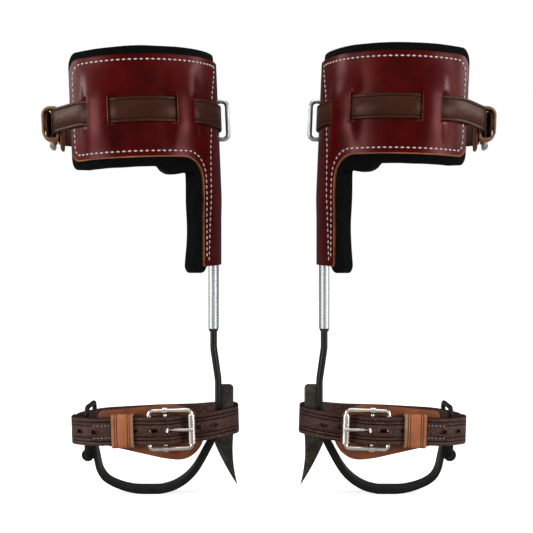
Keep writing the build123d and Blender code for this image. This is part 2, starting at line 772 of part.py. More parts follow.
def make_buckle_tongue(seat):
    plan = Plane(origin=seat.origin, x_dir=seat.x_dir, z_dir=seat.y_dir)
    eye_inner = bar_radius + snug_gap
    tip_u = bar_to_roller + tongue_overhang
    with BuildPart() as buckle_tongue:
        with BuildLine() as spine:
            Line(*on_seat(seat, [(0, tongue_root_w), (tip_u, tongue_root_w + tongue_slope * tip_u)]))
        with BuildSketch(Plane(origin=spine.line @ 0, z_dir=spine.line % 0)):
            Circle(tongue_diameter / 2)
        sweep(path=spine.wire())
        fillet(buckle_tongue.edges().filter_by(GeomType.CIRCLE), tongue_diameter / 3)
        with BuildSketch(plan):
            Circle(eye_inner + tongue_eye_wall)
        extrude(amount=tongue_eye_width / 2, both=True)
        with BuildSketch(plan):
            Circle(eye_inner)
        extrude(amount=tongue_eye_width, both=True, mode=Mode.SUBTRACT)
    return buckle_tongue.part


def make_buckle_roller(seat):
    place = seat.from_local_coords(Vector(bar_to_roller, 0, 0))
    with BuildPart() as buckle_roller:
        with BuildSketch(Plane(origin=place, x_dir=seat.x_dir, z_dir=seat.y_dir)):
            Circle(roller_radius)
            Circle(wire_radius + running_gap, mode=Mode.SUBTRACT)
        extrude(amount=roller_length / 2, both=True)
    return buckle_roller.part


def make_keeper(seat, middle_u, low_w, high_w):
    """A loop of leather round the strap's layers between two heights over the seat."""
    depth = high_w - low_w + 2 * soft_gap
    height = strap_width + 2 * keeper_side_gap
    across = across_seat(seat, middle_u)
    middle = across.from_local_coords(Vector((low_w + high_w) / 2, 0, 0))
    with BuildPart() as keeper:
        with BuildSketch(across.shift_origin(middle)):
            RectangleRounded(depth + 2 * keeper_wall, height + 2 * keeper_wall, keeper_wall * 1.5)
            RectangleRounded(depth, height, keeper_wall / 2, mode=Mode.SUBTRACT)
        extrude(amount=keeper_width / 2, both=True)
    return keeper.part


def make_ankle_shield():
    with BuildPart() as ankle_shield:
        with BuildSketch(ankle_seat.offset(shield_w)):
            with BuildLine():
                FilletPolyline(*ankle_shield_corners, radius=ankle_shield_radii, close=True)
            make_face()
        extrude(amount=-shield_thickness)
    return ankle_shield.part


def make_calf_shield():
    with BuildPart() as calf_shield:
        with BuildSketch(calf_seat.offset(shield_w)):
            with Locations((calf_shield_from, 0)):
                RectangleRounded(
                    calf_shield_length,
                    strap_width + 2 * calf_shield_margin,
                    calf_shield_radius,
                    align=(Align.MIN, Align.CENTER),
                )
        extrude(amount=-shield_thickness)
    return calf_shield.part


# Every piece of one climber, by name


def climber_pieces(side):
    layer_back = layer_w - strap_thickness / 2
    pieces = {
        "leg_iron": make_leg_iron(),
        "gaff": make_gaff(),
        "gaff_screws": make_gaff_screws(),
        "strap_link": make_strap_link(),
        "sleeve": make_sleeve(),
        "sleeve_bush": make_sleeve_bush(),
        "height_screws": make_height_screws(),
        "calf_ring": make_calf_ring(),
        "pad_leather": make_pad_leather(side),
        "pad_liner": make_pad_liner(),
        "ankle_strap": make_ankle_strap(),
        "calf_strap": make_calf_strap(),
        "ankle_keeper": make_keeper(
            ankle_seat, ankle_keeper_place, layer_back, tail_w + strap_thickness / 2
        ),
        "calf_keeper": make_keeper(
            calf_seat, calf_keeper_place, layer_back, over_heel_w + strap_thickness / 2
        ),
        "ankle_shield": make_ankle_shield(),
        "calf_shield": make_calf_shield(),
    }
    for strap, seat in (("ankle", ankle_seat), ("calf", calf_seat)):
        pieces[f"{strap}_buckle_frame"] = make_buckle_frame(seat)
        pieces[f"{strap}_buckle_bar"] = make_buckle_bar(seat)
        pieces[f"{strap}_buckle_tongue"] = make_buckle_tongue(seat)
        pieces[f"{strap}_buckle_roller"] = make_buckle_roller(seat)
    for piece in ("calf_ring", "calf_strap", "calf_keeper", "calf_shield"):
        pieces[piece] = pieces[piece].moved(lean_place)
    for piece in ("frame", "bar", "tongue", "roller"):
        pieces[f"calf_buckle_{piece}"] = pieces[f"calf_buckle_{piece}"].moved(lean_place)
    return pieces


# The origin is on the ground, in the middle of the pair's width and depth.
depth_middle = (calf_rear - calf_strap_radius) / 2
os.makedirs("parts", exist_ok=True)
for side in ("left", "right"):
    for piece, shape in climber_pieces(side).items():
        placed = shape.moved(Location((-shank_spacing / 2, -depth_middle, 0)))
        if side == "right":
            placed = mirror(placed, about=Plane.YZ)
        placed.label = f"{side}_{piece}"
        export_step(placed, f"parts/{placed.label}.step")
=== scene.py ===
import bmesh
import bpy
from bisect import bisect_right
from math import acos, atan2, cos, degrees, pi, radians, sin, sqrt
from mathutils import Matrix, Vector, noise


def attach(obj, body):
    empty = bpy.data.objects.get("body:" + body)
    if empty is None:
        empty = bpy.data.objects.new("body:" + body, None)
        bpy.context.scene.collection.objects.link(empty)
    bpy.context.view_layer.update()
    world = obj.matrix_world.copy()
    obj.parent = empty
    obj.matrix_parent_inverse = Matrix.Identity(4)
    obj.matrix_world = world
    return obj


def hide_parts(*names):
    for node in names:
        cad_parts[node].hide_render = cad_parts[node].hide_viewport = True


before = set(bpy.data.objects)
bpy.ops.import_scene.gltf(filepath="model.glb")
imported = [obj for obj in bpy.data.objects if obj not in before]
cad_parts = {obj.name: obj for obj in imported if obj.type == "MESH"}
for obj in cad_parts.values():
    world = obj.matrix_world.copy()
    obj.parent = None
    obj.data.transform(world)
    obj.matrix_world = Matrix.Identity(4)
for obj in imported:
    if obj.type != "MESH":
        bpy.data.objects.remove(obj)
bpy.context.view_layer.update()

bl_info = {
    "name": "Tree climbing spikes",
    "version": (1, 0, 0),
    "blender": (4, 5, 0),
    "location": "View3D > Sidebar > Climbers",
    "description": "Leather, felt, stitching and metal finishes for a pair of tree climbing spikes",
    "category": "Object",
}

SIDES = ("left", "right")
MM = 0.001

# Points nearer than this, in millimetres, count as one, and a round corner has this many steps
SAME_PLACE = 0.01
CORNER_STEPS = 8

# Places shared by leather and metal, in millimetres, on one climber with its shank on the Z axis
SHANK_OFFSET = 58.0
DEPTH_MIDDLE = 7.9
LEAN_HEIGHT = 318.0
LEAN_ANGLE = 2.4
PAD_AXIS_X = -74.41
SHELL_RADIUS = 82.5
SHELL_WALL = 2.3
SHELL_FROM = 39.0
SHELL_TO = 189.0
SHELL_TOP = 448.5
SHELL_BOTTOM = 347.0
TAB_BOTTOM = 237.0
TAB_ANGLE = 144.0
FELT_FROM = 35.5
FELT_TOP = 456.7
FELT_BOTTOM = 339.0
FELT_TAB_ANGLE = 136.8
FELT_TAB_BOTTOM = 232.0
FELT_THICKNESS = 13.5
STRAP_HEIGHT = 392.0
STRAP_WIDTH = 28.0
STRAP_WALL = 2.8
CALF_WIDTH = 25.0
SLIT_HEIGHT = STRAP_HEIGHT + 1.8
SLEEVE_HALF_DEPTH = 13.85
SLEEVE_FACE = 5.0
SLEEVE_TOP = 414.4
BRIDGES = {"left": ((60.0, 75.0), (122.0, 135.0)), "right": ((67.0, 80.0), (130.0, 146.0))}
SLIT_HALF = 15.4
RAW_EDGE = 1.2

# Bridges of the shell and the strap's press beside them: heights and how far each fades, in millimetres
BRIDGE_RISE = 4.6
BRIDGE_CROWN = 0.9
BRIDGE_FLAT = 10.0
BRIDGE_FADE = 40.0
BULGE_REACH = 13.0
SLIT_PRESS = 1.3
SLIT_FADE = 6.0
PRESS_REACH = 8.0

# The ride of the right pad: its rise at the sleeve and more at the end, over degrees and heights
HITCH_SLEEVE = 1.0
HITCH_END = 4.0
HITCH_SPAN = 140.0
HITCH_FOOT = 255.0
HITCH_FADE = 90.0

# Shell and felt: waves, radii of the corners, spacing of the cuts and of the seams, in millimetres
SHELL_WAVE = 0.7
SHELL_WAVE_LENGTH = 60.0
SHELL_SEEDS = {"left": 3.0, "right": 9.0}
SHELL_CORNERS = (13, 24, 3, 2, 6, 15)
FELT_CORNERS = (13, 2, 2.5, 3.5, 5, 3, 5, 6, 5, 3, 5, 5, 14)
FELT_ROUNDING = 4.2
FELT_GAP = 0.3
FELT_WAVE = 0.8
FELT_WAVE_LENGTH = 26.0
FELT_SEEDS = {"left": 21.0, "right": 47.0}
FELT_PITCH = 5.0
SHELL_PITCH = 3.0
SEAM_SIDE = 7.5
SEAM_TAB = 4.2
SEAM_LOW = 6.0
SEAM_HIGH = 5.5
SEAM_FOOT = 9.0
LOBE_ANGLE = 108.5
FELT_SWAY = 1.7

# Ways of the straps, in millimetres: u runs along a buckle and w out from it
ANKLE_BAR = Vector((-46.4, -46.0, 72.0))
ANKLE_TILT = 2.0
ANKLE_INNER_RISE = 4.2
ANKLE_REAR_RISE = 1.4
CALF_BAR = Vector((-170.482, 22.119, STRAP_HEIGHT))
CALF_FLARE = 8.0
CALF_LEAVE = 42.0
CALF_RADIUS = 84.2
CALF_RING_ANGLE = 20.0
CALF_REAR = 100.0
LAYER_W = -3.8
BEHIND_ROLLER_W = -5.7
OVER_BAR_W = 5.45
OVER_HEEL_W = 4.85
TAIL_W = -0.7
CALF_TAIL_DIP = (-34.0, 0.6)
CALF_TAIL_END = (-46.0, 5.0)
HEEL_U = -16.5
FOLD_OUTER = 3.75
FOLD_MIDDLE = 2.95
ROLLER_CLEAR_U = 18.5
TONGUE_HOLE = (7.436, 2.664)
SHIELD_W = -7.8
FOLD_SLOT = (-6.0, 19.0, 8.2)
TONGUE_SLOT = (10.0, 4.2)
ANKLE_HOLE = (8.4, 4.0)
CALF_HOLE = (7.8, 3.4)
HOLE_PITCH = 19.5
FIRST_TAIL_HOLE = 17.0
NEAR_HOLES = (29.0, 46.0)
ANKLE_CREASES = (4.4, 7.8)
CALF_CREASES = (3.3,)
KEEPER_WIDTH = 22.0
ANKLE_KEEPER_U = -43.5
CALF_KEEPER_U = -33.0
KEEPER_CREASES = (3.4, 5.6)
KEEPER_GAP = 0.3
KEEPER_SIDE_GAP = 1.0
KEEPER_INNER_BEND = 2.6
SHIELD_WALL = 2.5
ANKLE_SEAM_U = -55.0
ANKLE_SEAM_STITCHES = 5
ANKLE_STITCH_PITCH = 3.8

# Corners of the shields and how far each is rounded, in millimetres
ANKLE_SHIELD = {
    (-64, -14.5): 6,
    (0, -31.0): 7,
    (16, -32.6): 6,
    (28, -27.6): 6,
    (37, -17): 6,
    (39, -4): 5,
    (36, 10): 8,
    (16, 25.5): 14,
    (-70, 20): 6,
}
CALF_SHIELD = {(-44, -18): 14, (26, -18): 14, (26, 24): 14, (-44, 24): 14}

# Stage: brightness of paper and room, and the photograph's scale in metres a pixel
LIGHT_AIM = Vector((0.0, 0.0, 0.24))
PAPER_GLOW = 0.74
PAPER_BOUNCE = 0.4
MIRRORED_ROOM = 0.5
CAMERA_HEIGHT = 0.237
CAMERA_SHIFT = -2.4
SCALE = 0.00105
PIXELS = 533
SENSOR = 36.0


# Modelling tools


def pick(piece):
    """Makes a piece the active and only selected object."""
    bpy.ops.object.select_all(action="DESELECT")
    piece.select_set(True)
    bpy.context.view_layer.objects.active = piece


def start_edit(piece):
    """Opens a piece in edit mode with all of it selected."""
    pick(piece)
    bpy.ops.object.mode_set(mode="EDIT")
    bpy.ops.mesh.select_all(action="SELECT")


def end_edit():
    bpy.ops.object.mode_set(mode="OBJECT")


def new_piece(name):
    """Names the primitive that was just added."""
    piece = bpy.context.active_object
    piece.name = name
    piece.data.name = name
    return piece


def slice_piece(piece, axis, places):
    """Cuts a mesh by planes square to an axis, so that it can be curved."""
    normal = Vector((0, 0, 0))
    normal[axis] = 1
    start_edit(piece)
    for place in places:
        bpy.ops.mesh.select_all(action="SELECT")
        bpy.ops.mesh.bisect(plane_co=normal * place, plane_no=normal)
    end_edit()


def edit_where(piece, kind, test):
    """Opens a piece in edit mode with those of its vertices or edges selected that pass a test."""
    mesh = piece.data
    for part in (mesh.vertices, mesh.edges, mesh.polygons):
        part.foreach_set("select", [False] * len(part))
    for item in getattr(mesh, kind):
        if kind == "vertices":
            item.select = test(item.co)
        else:
            item.select = test(*(mesh.vertices[v].co for v in item.vertices))
    pick(piece)
    bpy.ops.object.mode_set(mode="EDIT")
    bpy.context.tool_settings.mesh_select_mode = (kind == "vertices", kind == "edges", False)


def round_corner(piece, corner, radius):
    """Rounds one corner of a flat outline."""
    edit_where(piece, "vertices", lambda co: (co - Vector(corner)).length < SAME_PLACE)
    bpy.ops.mesh.bevel(offset=radius, offset_type="OFFSET", segments=CORNER_STEPS, affect="VERTICES")
    end_edit()


def use_modifier(piece, kind, **settings):
    """Adds a modifier, sets it and applies it."""
    pick(piece)
    modifier = piece.modifiers.new(kind.title(), kind)
    for name, value in settings.items():
        setattr(modifier, name, value)
    bpy.ops.object.modifier_apply(modifier=modifier.name)


def reshape(piece, way):
    """Moves each vertex to where a function sends it."""
    for vertex in piece.data.vertices:
        vertex.co = way(vertex.co)
    piece.data.update()


def ease(t):
    """A smooth step from 0 to 1."""
    t = min(max(t, 0.0), 1.0)
    return t * t * (3 - 2 * t)


def steps(low, high, pitch):
    """Places between two ends, evenly spaced at about a pitch."""
    count = max(1, round((high - low) / pitch))
    return [low + (high - low) * i / count for i in range(1, count)]


def lean(point, share=1.0):
    """A point of the upright pad as it stands, leaning outwards from the bend in the sleeve."""
    turn = radians(LEAN_ANGLE) * share
    z = point.z - LEAN_HEIGHT
    return Vector(
        (point.x * cos(turn) - z * sin(turn), point.y, LEAN_HEIGHT + point.x * sin(turn) + z * cos(turn))
    )


def lean_tab(point):
    """Leans the wrap of the pad and leaves its tab straight."""
    return lean(point, ease((point.z - LEAN_HEIGHT + 30) / 30))


def finish_piece(piece, name, side, body, materials, replaced, smooth=40):
    """Takes a piece from one climber's millimetres to its place in the pair and hands it to the frame."""
    flip = -1 if side == "right" else 1
    shift = Matrix.Translation((-SHANK_OFFSET, -DEPTH_MIDDLE, 0))
    piece.data.transform(Matrix.Scale(MM, 4) @ Matrix.Diagonal((flip, 1, 1, 1)) @ shift)
    if flip < 0:
        piece.data.flip_normals()
    piece.name = f"{side}_{name}"
    piece.data.name = piece.name
    slots = piece.data.materials
    while len(slots) < len(materials):
        slots.append(None)
    for index, material in enumerate(materials):
        slots[index] = material
    pick(piece)
    bpy.ops.object.shade_smooth_by_angle(angle=radians(smooth))
    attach(piece, f"{side}_{body}")
    if replaced:
        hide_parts(*[f"{side}_{node}" for node in replaced])


def copy_piece(piece):
    """A copy with its own mesh."""
    twin = piece.copy()
    twin.data = piece.data.copy()
    bpy.context.scene.collection.objects.link(twin)
    return twin


# Finishes


def add_node(material, kind, links=(), **values):
    """Adds a shader node, sets its inputs and links them from (input name, output socket) pairs."""
    node = material.node_tree.nodes.new(kind)
    for name, value in values.items():
        node.inputs[name.replace("_", " ")].default_value = value
    for name, socket in links:
        material.node_tree.links.new(socket, node.inputs[name])
    return node


def new_finish(name, roughness, metallic=0.0, **values):
    """A material with one principled shader. Returns it with its shader and the place on the piece."""
    material = bpy.data.materials.new(name)
    material.use_nodes = True
    shader = material.node_tree.nodes["Principled BSDF"]
    shader.inputs["Roughness"].default_value = roughness
    shader.inputs["Metallic"].default_value = metallic
    for socket, value in values.items():
        shader.inputs[socket.replace("_", " ")].default_value = value
    place = material.node_tree.nodes.new("ShaderNodeTexCoord").outputs["Object"]
    return material, shader, place


def cloud(material, place, scale, detail=4.0, roughness=0.55, stretch=None):
    """A noise pattern, stretched by a factor along each axis where one is given."""
    if stretch:
        mapping = add_node(material, "ShaderNodeMapping", [("Vector", place)], Scale=stretch)
        place = mapping.outputs["Vector"]
    pattern = add_node(
        material, "ShaderNodeTexNoise", [("Vector", place)], Scale=scale, Detail=detail, Roughness=roughness
    )
    return pattern.outputs["Fac"]


def shade(material, shader, pattern, stops):
    """Colours a shader by a pattern, through stops of (place, colour)."""
    ramp = add_node(material, "ShaderNodeValToRGB", [("Fac", pattern)])
    while len(ramp.color_ramp.elements) < len(stops):
        ramp.color_ramp.elements.new(0.5)
    for element, (at, colour) in zip(ramp.color_ramp.elements, stops):
        element.position = at
        element.color = (*colour, 1.0)
    material.node_tree.links.new(ramp.outputs["Color"], shader.inputs["Base Color"])


def polish(material, shader, pattern, low, high):
    """Varies a shader's roughness by a pattern."""
    span = add_node(material, "ShaderNodeMapRange", [("Value", pattern)], To_Min=low, To_Max=high)
    material.node_tree.links.new(span.outputs["Result"], shader.inputs["Roughness"])


def emboss(material, shader, layers):
    """Bumps a shader by patterns, given as (pattern, strength, depth in metres)."""
    normal = None
    for pattern, strength, depth in layers:
        links = [("Height", pattern)] + ([("Normal", normal)] if normal else [])
        bump = add_node(material, "ShaderNodeBump", links, Strength=strength, Distance=depth)
        normal = bump.outputs["Normal"]
    material.node_tree.links.new(normal, shader.inputs["Normal"])


def leather_finish(name, dark, light, roughness, grain, gloss=0.35, sheen=(1.0, 0.75, 0.65), painted_glint=None):
    """Tanned leather: pores, fine creases, a cloudy dye and a sheen with some of its colour.

    A painted glint is a third, lighter colour: a painted highlight on the high parts of a coarse grain.
    """
    material, shader, place = new_finish(name, roughness, Specular_IOR_Level=gloss)
    shader.inputs["Specular Tint"].default_value = (*sheen, 1.0)
    dye = cloud(material, place, 38.0, 6.0, 0.6)
    wear = cloud(material, place, 160.0, 5.0, 0.65)
    pores = add_node(material, "ShaderNodeTexVoronoi", [("Vector", place)], Scale=900.0)
    # This noise gives the crease relief; with a painted glint it also places that painted highlight in the
    # colour.
    creases = cloud(material, place, 420.0, 6.0, 0.7)
    if painted_glint:
        shade(material, shader, creases, [(0.36, dark), (0.54, light), (0.7, painted_glint)])
    else:
        shade(material, shader, dye, [(0.3, dark), (0.72, light)])
    polish(material, shader, wear, roughness - 0.07, roughness + 0.12)
    layers = [(creases, 0.35 * grain, 0.0003 * grain), (pores.outputs["Distance"], 0.25 * grain, 0.0002)]
    emboss(material, shader, layers)
    return material


def plain_finish(name, roughness, metallic, pattern, colours, polished=None, relief=None):
    """A finish whose colour, and where given its roughness and relief, follow one noise pattern."""
    material, shader, place = new_finish(name, roughness, metallic)
    speckle = cloud(material, place, *pattern)
    shade(material, shader, speckle, list(zip((0.3, 0.7), colours)))
    if polished:
        polish(material, shader, speckle, *polished)
    if relief:
        emboss(material, shader, [(speckle, *relief)])
    return material


def make_leathers(looks):
    """The leathers, by name, each from its dark and light tone, its roughness and its grain."""
    return {
        "shell": leather_finish(
            "oxblood_leather", (0.03, 0.0004, 0.0005), looks.shell_colour[:], 0.31, 0.3,
            gloss=0.25, sheen=(1.0, 0.36, 0.34),
        ),
        "raw_edge": leather_finish("raw_leather_edge", (0.16, 0.05, 0.022), (0.4, 0.15, 0.07), 0.75, 1.0),
        "strap": leather_finish(
            "brown_strap_leather", (0.03, 0.009, 0.0042), looks.calf_colour[:], 0.34, 1.6,
            gloss=0.17, sheen=(1.0, 0.66, 0.56),
        ),
        # Darker strap leather on the calf straps' creases: painted shade in the creases.
        "calf_crease_shade": leather_finish(
            "creased_strap_leather", (0.014, 0.0042, 0.0022), (0.026, 0.008, 0.004), 0.4, 0.8, gloss=0.15
        ),
        # The ankle strap's third colour is a painted glint: painted highlights on the high parts of its
        # grain.
        "ankle_strap": leather_finish(
            "grained_strap_leather", (0.02, 0.006, 0.004), looks.strap_colour[:], 0.3, 3.6,
            gloss=0.4, sheen=(1.0, 0.74, 0.68), painted_glint=(0.13, 0.075, 0.066),
        ),
        # Very dark strap leather: painted shade in the ankle straps' creases, and the dark cut edges of both
        # straps.
        "strap_edge_and_crease_shade": leather_finish(
            "burnished_strap", (0.005, 0.0016, 0.001), (0.012, 0.004, 0.0026), 0.45, 0.4, gloss=0.1
        ),
        "tan": leather_finish("tan_leather", (0.34, 0.11, 0.045), looks.tan_colour[:], 0.5, 0.6),
        # Darker tan on the keepers' creases: painted shade in the creases.
        "tan_crease_shade": leather_finish("burnished_tan", (0.09, 0.028, 0.012), (0.17, 0.055, 0.023), 0.45, 0.4),
        "cut_tan": leather_finish(
            "cut_tan_leather", (0.22, 0.13, 0.06), (0.46, 0.31, 0.17), 0.8, 1.0, gloss=0.2
        ),
        "flesh": leather_finish("shield_leather", (0.12, 0.034, 0.013), (0.29, 0.09, 0.036), 0.5, 0.6),
    }


def felt_finish():
    """Black felt, with fibres and tufts that show in its relief."""
    felt, shader, place = new_finish(
        "black_felt", 0.95, Specular_IOR_Level=0.02, Sheen_Weight=0.02, Sheen_Roughness=0.6
    )
    fibres = cloud(felt, place, 900.0, 8.0, 0.75)
    tufts = cloud(felt, place, 130.0, 5.0, 0.6)
    shade(felt, shader, tufts, [(0.3, (0.0018, 0.0022, 0.002)), (0.75, (0.0045, 0.0052, 0.0048))])
    emboss(felt, shader, [(tufts, 0.5, 0.0012), (fibres, 0.8, 0.0006)])
    return felt


def paint_finish():
    """Black satin paint with scuffs, for the irons."""
    paint, shader, place = new_finish(
        "black_satin_paint", 0.36, Specular_IOR_Level=0.2, Specular_Tint=(1.0, 0.98, 0.88, 1.0)
    )
    orange_peel = cloud(paint, place, 320.0, 3.0)
    scuffs = cloud(paint, place, 45.0, 8.0, 0.7)
    shade(paint, shader, scuffs, [(0.35, (0.006, 0.0059, 0.005)), (0.8, (0.014, 0.0136, 0.011))])
    polish(paint, shader, scuffs, 0.3, 0.5)
    emboss(paint, shader, [(scuffs, 0.12, 0.0008), (orange_peel, 0.12, 0.0003)])
    return paint


def forged_finish():
    """Forged steel with dark scale and pits, for the gaffs."""
    forged, shader, place = new_finish("forged_steel", 0.5, 0.75)
    scale = cloud(forged, place, 90.0, 8.0, 0.7)
    pits = cloud(forged, place, 420.0, 5.0, 0.6)
    tones = [(0.32, (0.022, 0.019, 0.015)), (0.5, (0.058, 0.05, 0.039)), (0.75, (0.16, 0.145, 0.12))]
    shade(forged, shader, scale, tones)
    polish(forged, shader, pits, 0.36, 0.62)
    emboss(forged, shader, [(scale, 0.35, 0.0012), (pits, 0.35, 0.0004)])
    return forged


def make_finishes(looks):
    """Every finish of the pair, by name."""
    return {
        **make_leathers(looks),
        "felt": felt_finish(),
        "paint": paint_finish(),
        "forged": forged_finish(),
        "thread": plain_finish(
            "waxed_thread", 0.6, 0.0, (1500.0, 3.0),
            ((0.5, 0.46, 0.44), (0.78, 0.75, 0.72)), relief=(0.5, 0.0002),
        ),
        "old_thread": plain_finish(
            "old_thread", 0.7, 0.0, (900.0, 3.0), ((0.25, 0.2, 0.18), (0.55, 0.5, 0.46))
        ),
        "bright": plain_finish(
            "polished_sleeve", 0.52, 1.0, (300.0, 2.0, 0.5, (1.0, 1.0, 0.01)),
            ((0.43, 0.455, 0.465), (0.49, 0.51, 0.52)), polished=(0.51, 0.54),
        ),
        "nickel": plain_finish(
            "nickel_plate", 0.2, 1.0, (70.0, 2.0, 0.5),
            ((0.72, 0.65, 0.56), looks.nickel_colour[:]), polished=(0.2, 0.3),
        ),
        "zinc": plain_finish(
            "zinc_plate", 0.3, 1.0, (260.0, 6.0, 0.6),
            ((0.5, 0.54, 0.56), (0.72, 0.76, 0.78)), polished=(0.24, 0.42), relief=(0.1, 0.0003),
        ),
        "nylon": plain_finish(
            "black_nylon", 0.5, 0.0, (700.0, 4.0),
            ((0.008, 0.008, 0.008), (0.016, 0.016, 0.016)), relief=(0.2, 0.0002),
        ),
        "oxide": plain_finish(
            "black_oxide", 0.42, 0.6, (300.0, 5.0),
            ((0.012, 0.012, 0.013), (0.03, 0.03, 0.031)), relief=(0.15, 0.0002),
        ),
    }


FINISHES = {}


# Calf pad


def arc(angle):
    """The length round the outside of the shell up to an angle. 0 faces outwards and 90 to the front."""
    return radians(angle) * SHELL_RADIUS


def flat_pattern(name, corners, radii):
    """A flat pattern with round corners, as (arc, 0, height), that faces the front."""
    bpy.ops.object.select_all(action="DESELECT")
    bpy.ops.mesh.primitive_circle_add(vertices=len(corners), radius=1.0, fill_type="NGON")
    pattern = new_piece(name)
    for vertex, (x, z) in zip(pattern.data.vertices, corners):
        vertex.co = (x, 0, z)
    for (x, z), radius in zip(corners, radii):
        round_corner(pattern, (x, 0, z), radius)
    return pattern


def bridge_lift(side, x, z, on_bridge):
    """How far the shell stands off its cylinder: raised at the bridges and pressed in beside the slits."""
    height = abs(z - SLIT_HEIGHT)
    rise = 1 - ease((height - BRIDGE_FLAT) / BRIDGE_FADE)
    past_slit = ease((height - SLIT_HALF + SLIT_FADE) / SLIT_FADE)
    lift = 0.0
    for start, end in BRIDGES[side]:
        low, high = arc(start), arc(end)
        off = max(low - x, x - high, 0.0)
        if off < SAME_PLACE and (on_bridge or height > SLIT_HALF - SAME_PLACE):
            crown = max(0.0, 1 - ((2 * x - low - high) / (high - low)) ** 2)
            return (BRIDGE_RISE + BRIDGE_CROWN * crown) * rise
        lift += past_slit * BRIDGE_RISE * rise * (1 - ease(off / BULGE_REACH))
        lift -= (1 - past_slit) * SLIT_PRESS * (1 - ease(off / PRESS_REACH))
    return lift


def hitch(side, angle, z=SLIT_HEIGHT):
    """How far the wrap of the right pad rides up, less and less towards the sleeve and down the tab."""
    if side == "left":
        return 0.0
    return (HITCH_SLEEVE + HITCH_END * (180 - angle) / HITCH_SPAN) * ease((z - HITCH_FOOT) / HITCH_FADE)


def on_shell(side, x, z, out=0.0, on_bridge=False):
    """A place on the outside of the shell, from its flat pattern."""
    angle = x / SHELL_RADIUS
    spot = Vector((x / SHELL_WAVE_LENGTH, z / SHELL_WAVE_LENGTH, SHELL_SEEDS[side]))
    wave = SHELL_WAVE * noise.noise(spot)
    calm = 1 - ease((degrees(angle) - 140) / 15)
    radius = SHELL_RADIUS + out + bridge_lift(side, x, z, on_bridge) + wave * calm
    place = Vector((PAD_AXIS_X - radius * cos(angle), -radius * sin(angle), z))
    return lean_tab(place) + Vector((0, 0, hitch(side, degrees(angle), z)))


def rounded_path(points, radii, pitch=1.0):
    """A flat line through corners with round bends, as points about a pitch apart."""
    line = [Vector(points[0])]
    for before, corner, after, radius in zip(points, points[1:], points[2:], radii):
        corner = Vector(corner)
        back, on = (Vector(before) - corner).normalized(), (Vector(after) - corner).normalized()
        half = acos(max(-1.0, min(1.0, back.dot(on)))) / 2
        if radius == 0 or half > 1.5705:
            line.append(corner)
            continue
        middle = corner + (back + on).normalized() * (radius / sin(half))
        first = corner + back * (radius * cos(half) / sin(half)) - middle
        last = corner + on * (radius * cos(half) / sin(half)) - middle
        sweep = atan2(first.x * last.y - first.y * last.x, first.dot(last))
        count = max(3, int(abs(sweep) * radius / pitch) + 1)
        for i in range(count + 1):
            turn = sweep * i / count
            arm = (first.x * cos(turn) - first.y * sin(turn), first.x * sin(turn) + first.y * cos(turn))
            line.append(middle + Vector(arm))
    line.append(Vector(points[-1]))
    return line


class Line:
    """A flat line that can be read by its length."""

    def __init__(self, points):
        self.points = [points[0]]
        self.lengths = [0.0]
        for point in points[1:]:
            gap = (point - self.points[-1]).length
            if gap > 1e-6:
                self.points.append(point)
                self.lengths.append(self.lengths[-1] + gap)

    @property
    def length(self):
        return self.lengths[-1]

    def at(self, length):
        """The point at a length, and the direction there. It goes straight on past the ends."""
        i = min(max(bisect_right(self.lengths, length) - 1, 0), len(self.points) - 2)
        way = (self.points[i + 1] - self.points[i]).normalized()
        return self.points[i] + way * (length - self.lengths[i]), way

    def smooth_at(self, length, reach):
        """The point and direction at a length, evened out over a reach."""
        spots = [self.at(length + reach * (i / 4 - 1))[0] for i in range(9)]
        weights = [1, 2, 3, 4, 5, 4, 3, 2, 1]
        point = sum((s * w for s, w in zip(spots, weights)), Vector((0, 0))) / sum(weights)
        return point, (spots[6] - spots[2]).normalized()


def make_shell(side):
    """The leather shell, cut flat, slit, wrapped round the calf and lifted over the strap at its bridges."""
    left, right, tab = arc(SHELL_FROM), arc(SHELL_TO), arc(TAB_ANGLE)
    corners = [
        (left, SHELL_BOTTOM),
        (tab, SHELL_BOTTOM),
        (tab, TAB_BOTTOM),
        (right, TAB_BOTTOM + 3),
        (right, SHELL_TOP),
        (left, SHELL_TOP),
    ]
    shell = flat_pattern("shell", corners, SHELL_CORNERS)
    start_edit(shell)
    bpy.ops.mesh.inset(thickness=RAW_EDGE, use_boundary=True)
    end_edit()
    shell.data.materials.append(None)
    shell.data.materials.append(None)
    for face in shell.data.polygons:
        if len(face.vertices) == 4 and face.center.z < SHELL_BOTTOM + 8 and face.center.x < tab + 6:
            face.material_index = 1
    slits = [arc(angle) for bridge in BRIDGES[side] for angle in bridge]
    columns = [x for x in steps(left, right, SHELL_PITCH) if min(abs(x - s) for s in slits) > 1.0]
    slice_piece(shell, 0, columns + slits)
    rows = [SLIT_HEIGHT + sign * SLIT_HALF for sign in (-1, 1)]
    rows += [z for z in steps(SHELL_BOTTOM, SHELL_TOP, SHELL_PITCH) if min(abs(z - r) for r in rows) > 1.0]
    slice_piece(shell, 2, rows + steps(TAB_BOTTOM, SHELL_BOTTOM, 2 * SHELL_PITCH))
    for x in slits:
        edit_where(
            shell,
            "edges",
            lambda a, b: max(abs(a.x - x), abs(b.x - x)) < SAME_PLACE
            and max(abs(a.z - SLIT_HEIGHT), abs(b.z - SLIT_HEIGHT)) < SLIT_HALF + SAME_PLACE,
        )
        bpy.ops.mesh.edge_split(type="EDGE")
        end_edit()
    on_bridge = set()
    for face in shell.data.polygons:
        inside = any(arc(a) < face.center.x < arc(b) for a, b in BRIDGES[side])
        if inside and abs(face.center.z - SLIT_HEIGHT) < SLIT_HALF:
            on_bridge.update(face.vertices)
    for vertex in shell.data.vertices:
        vertex.co = on_shell(side, vertex.co.x, vertex.co.z, on_bridge=vertex.index in on_bridge)
    use_modifier(
        shell, "SOLIDIFY", thickness=SHELL_WALL, offset=-1.0, material_offset_rim=1, use_even_offset=True
    )
    use_modifier(
        shell, "BEVEL", width=1.05, segments=3, limit_method="ANGLE", angle_limit=radians(50), material=1
    )
    return shell


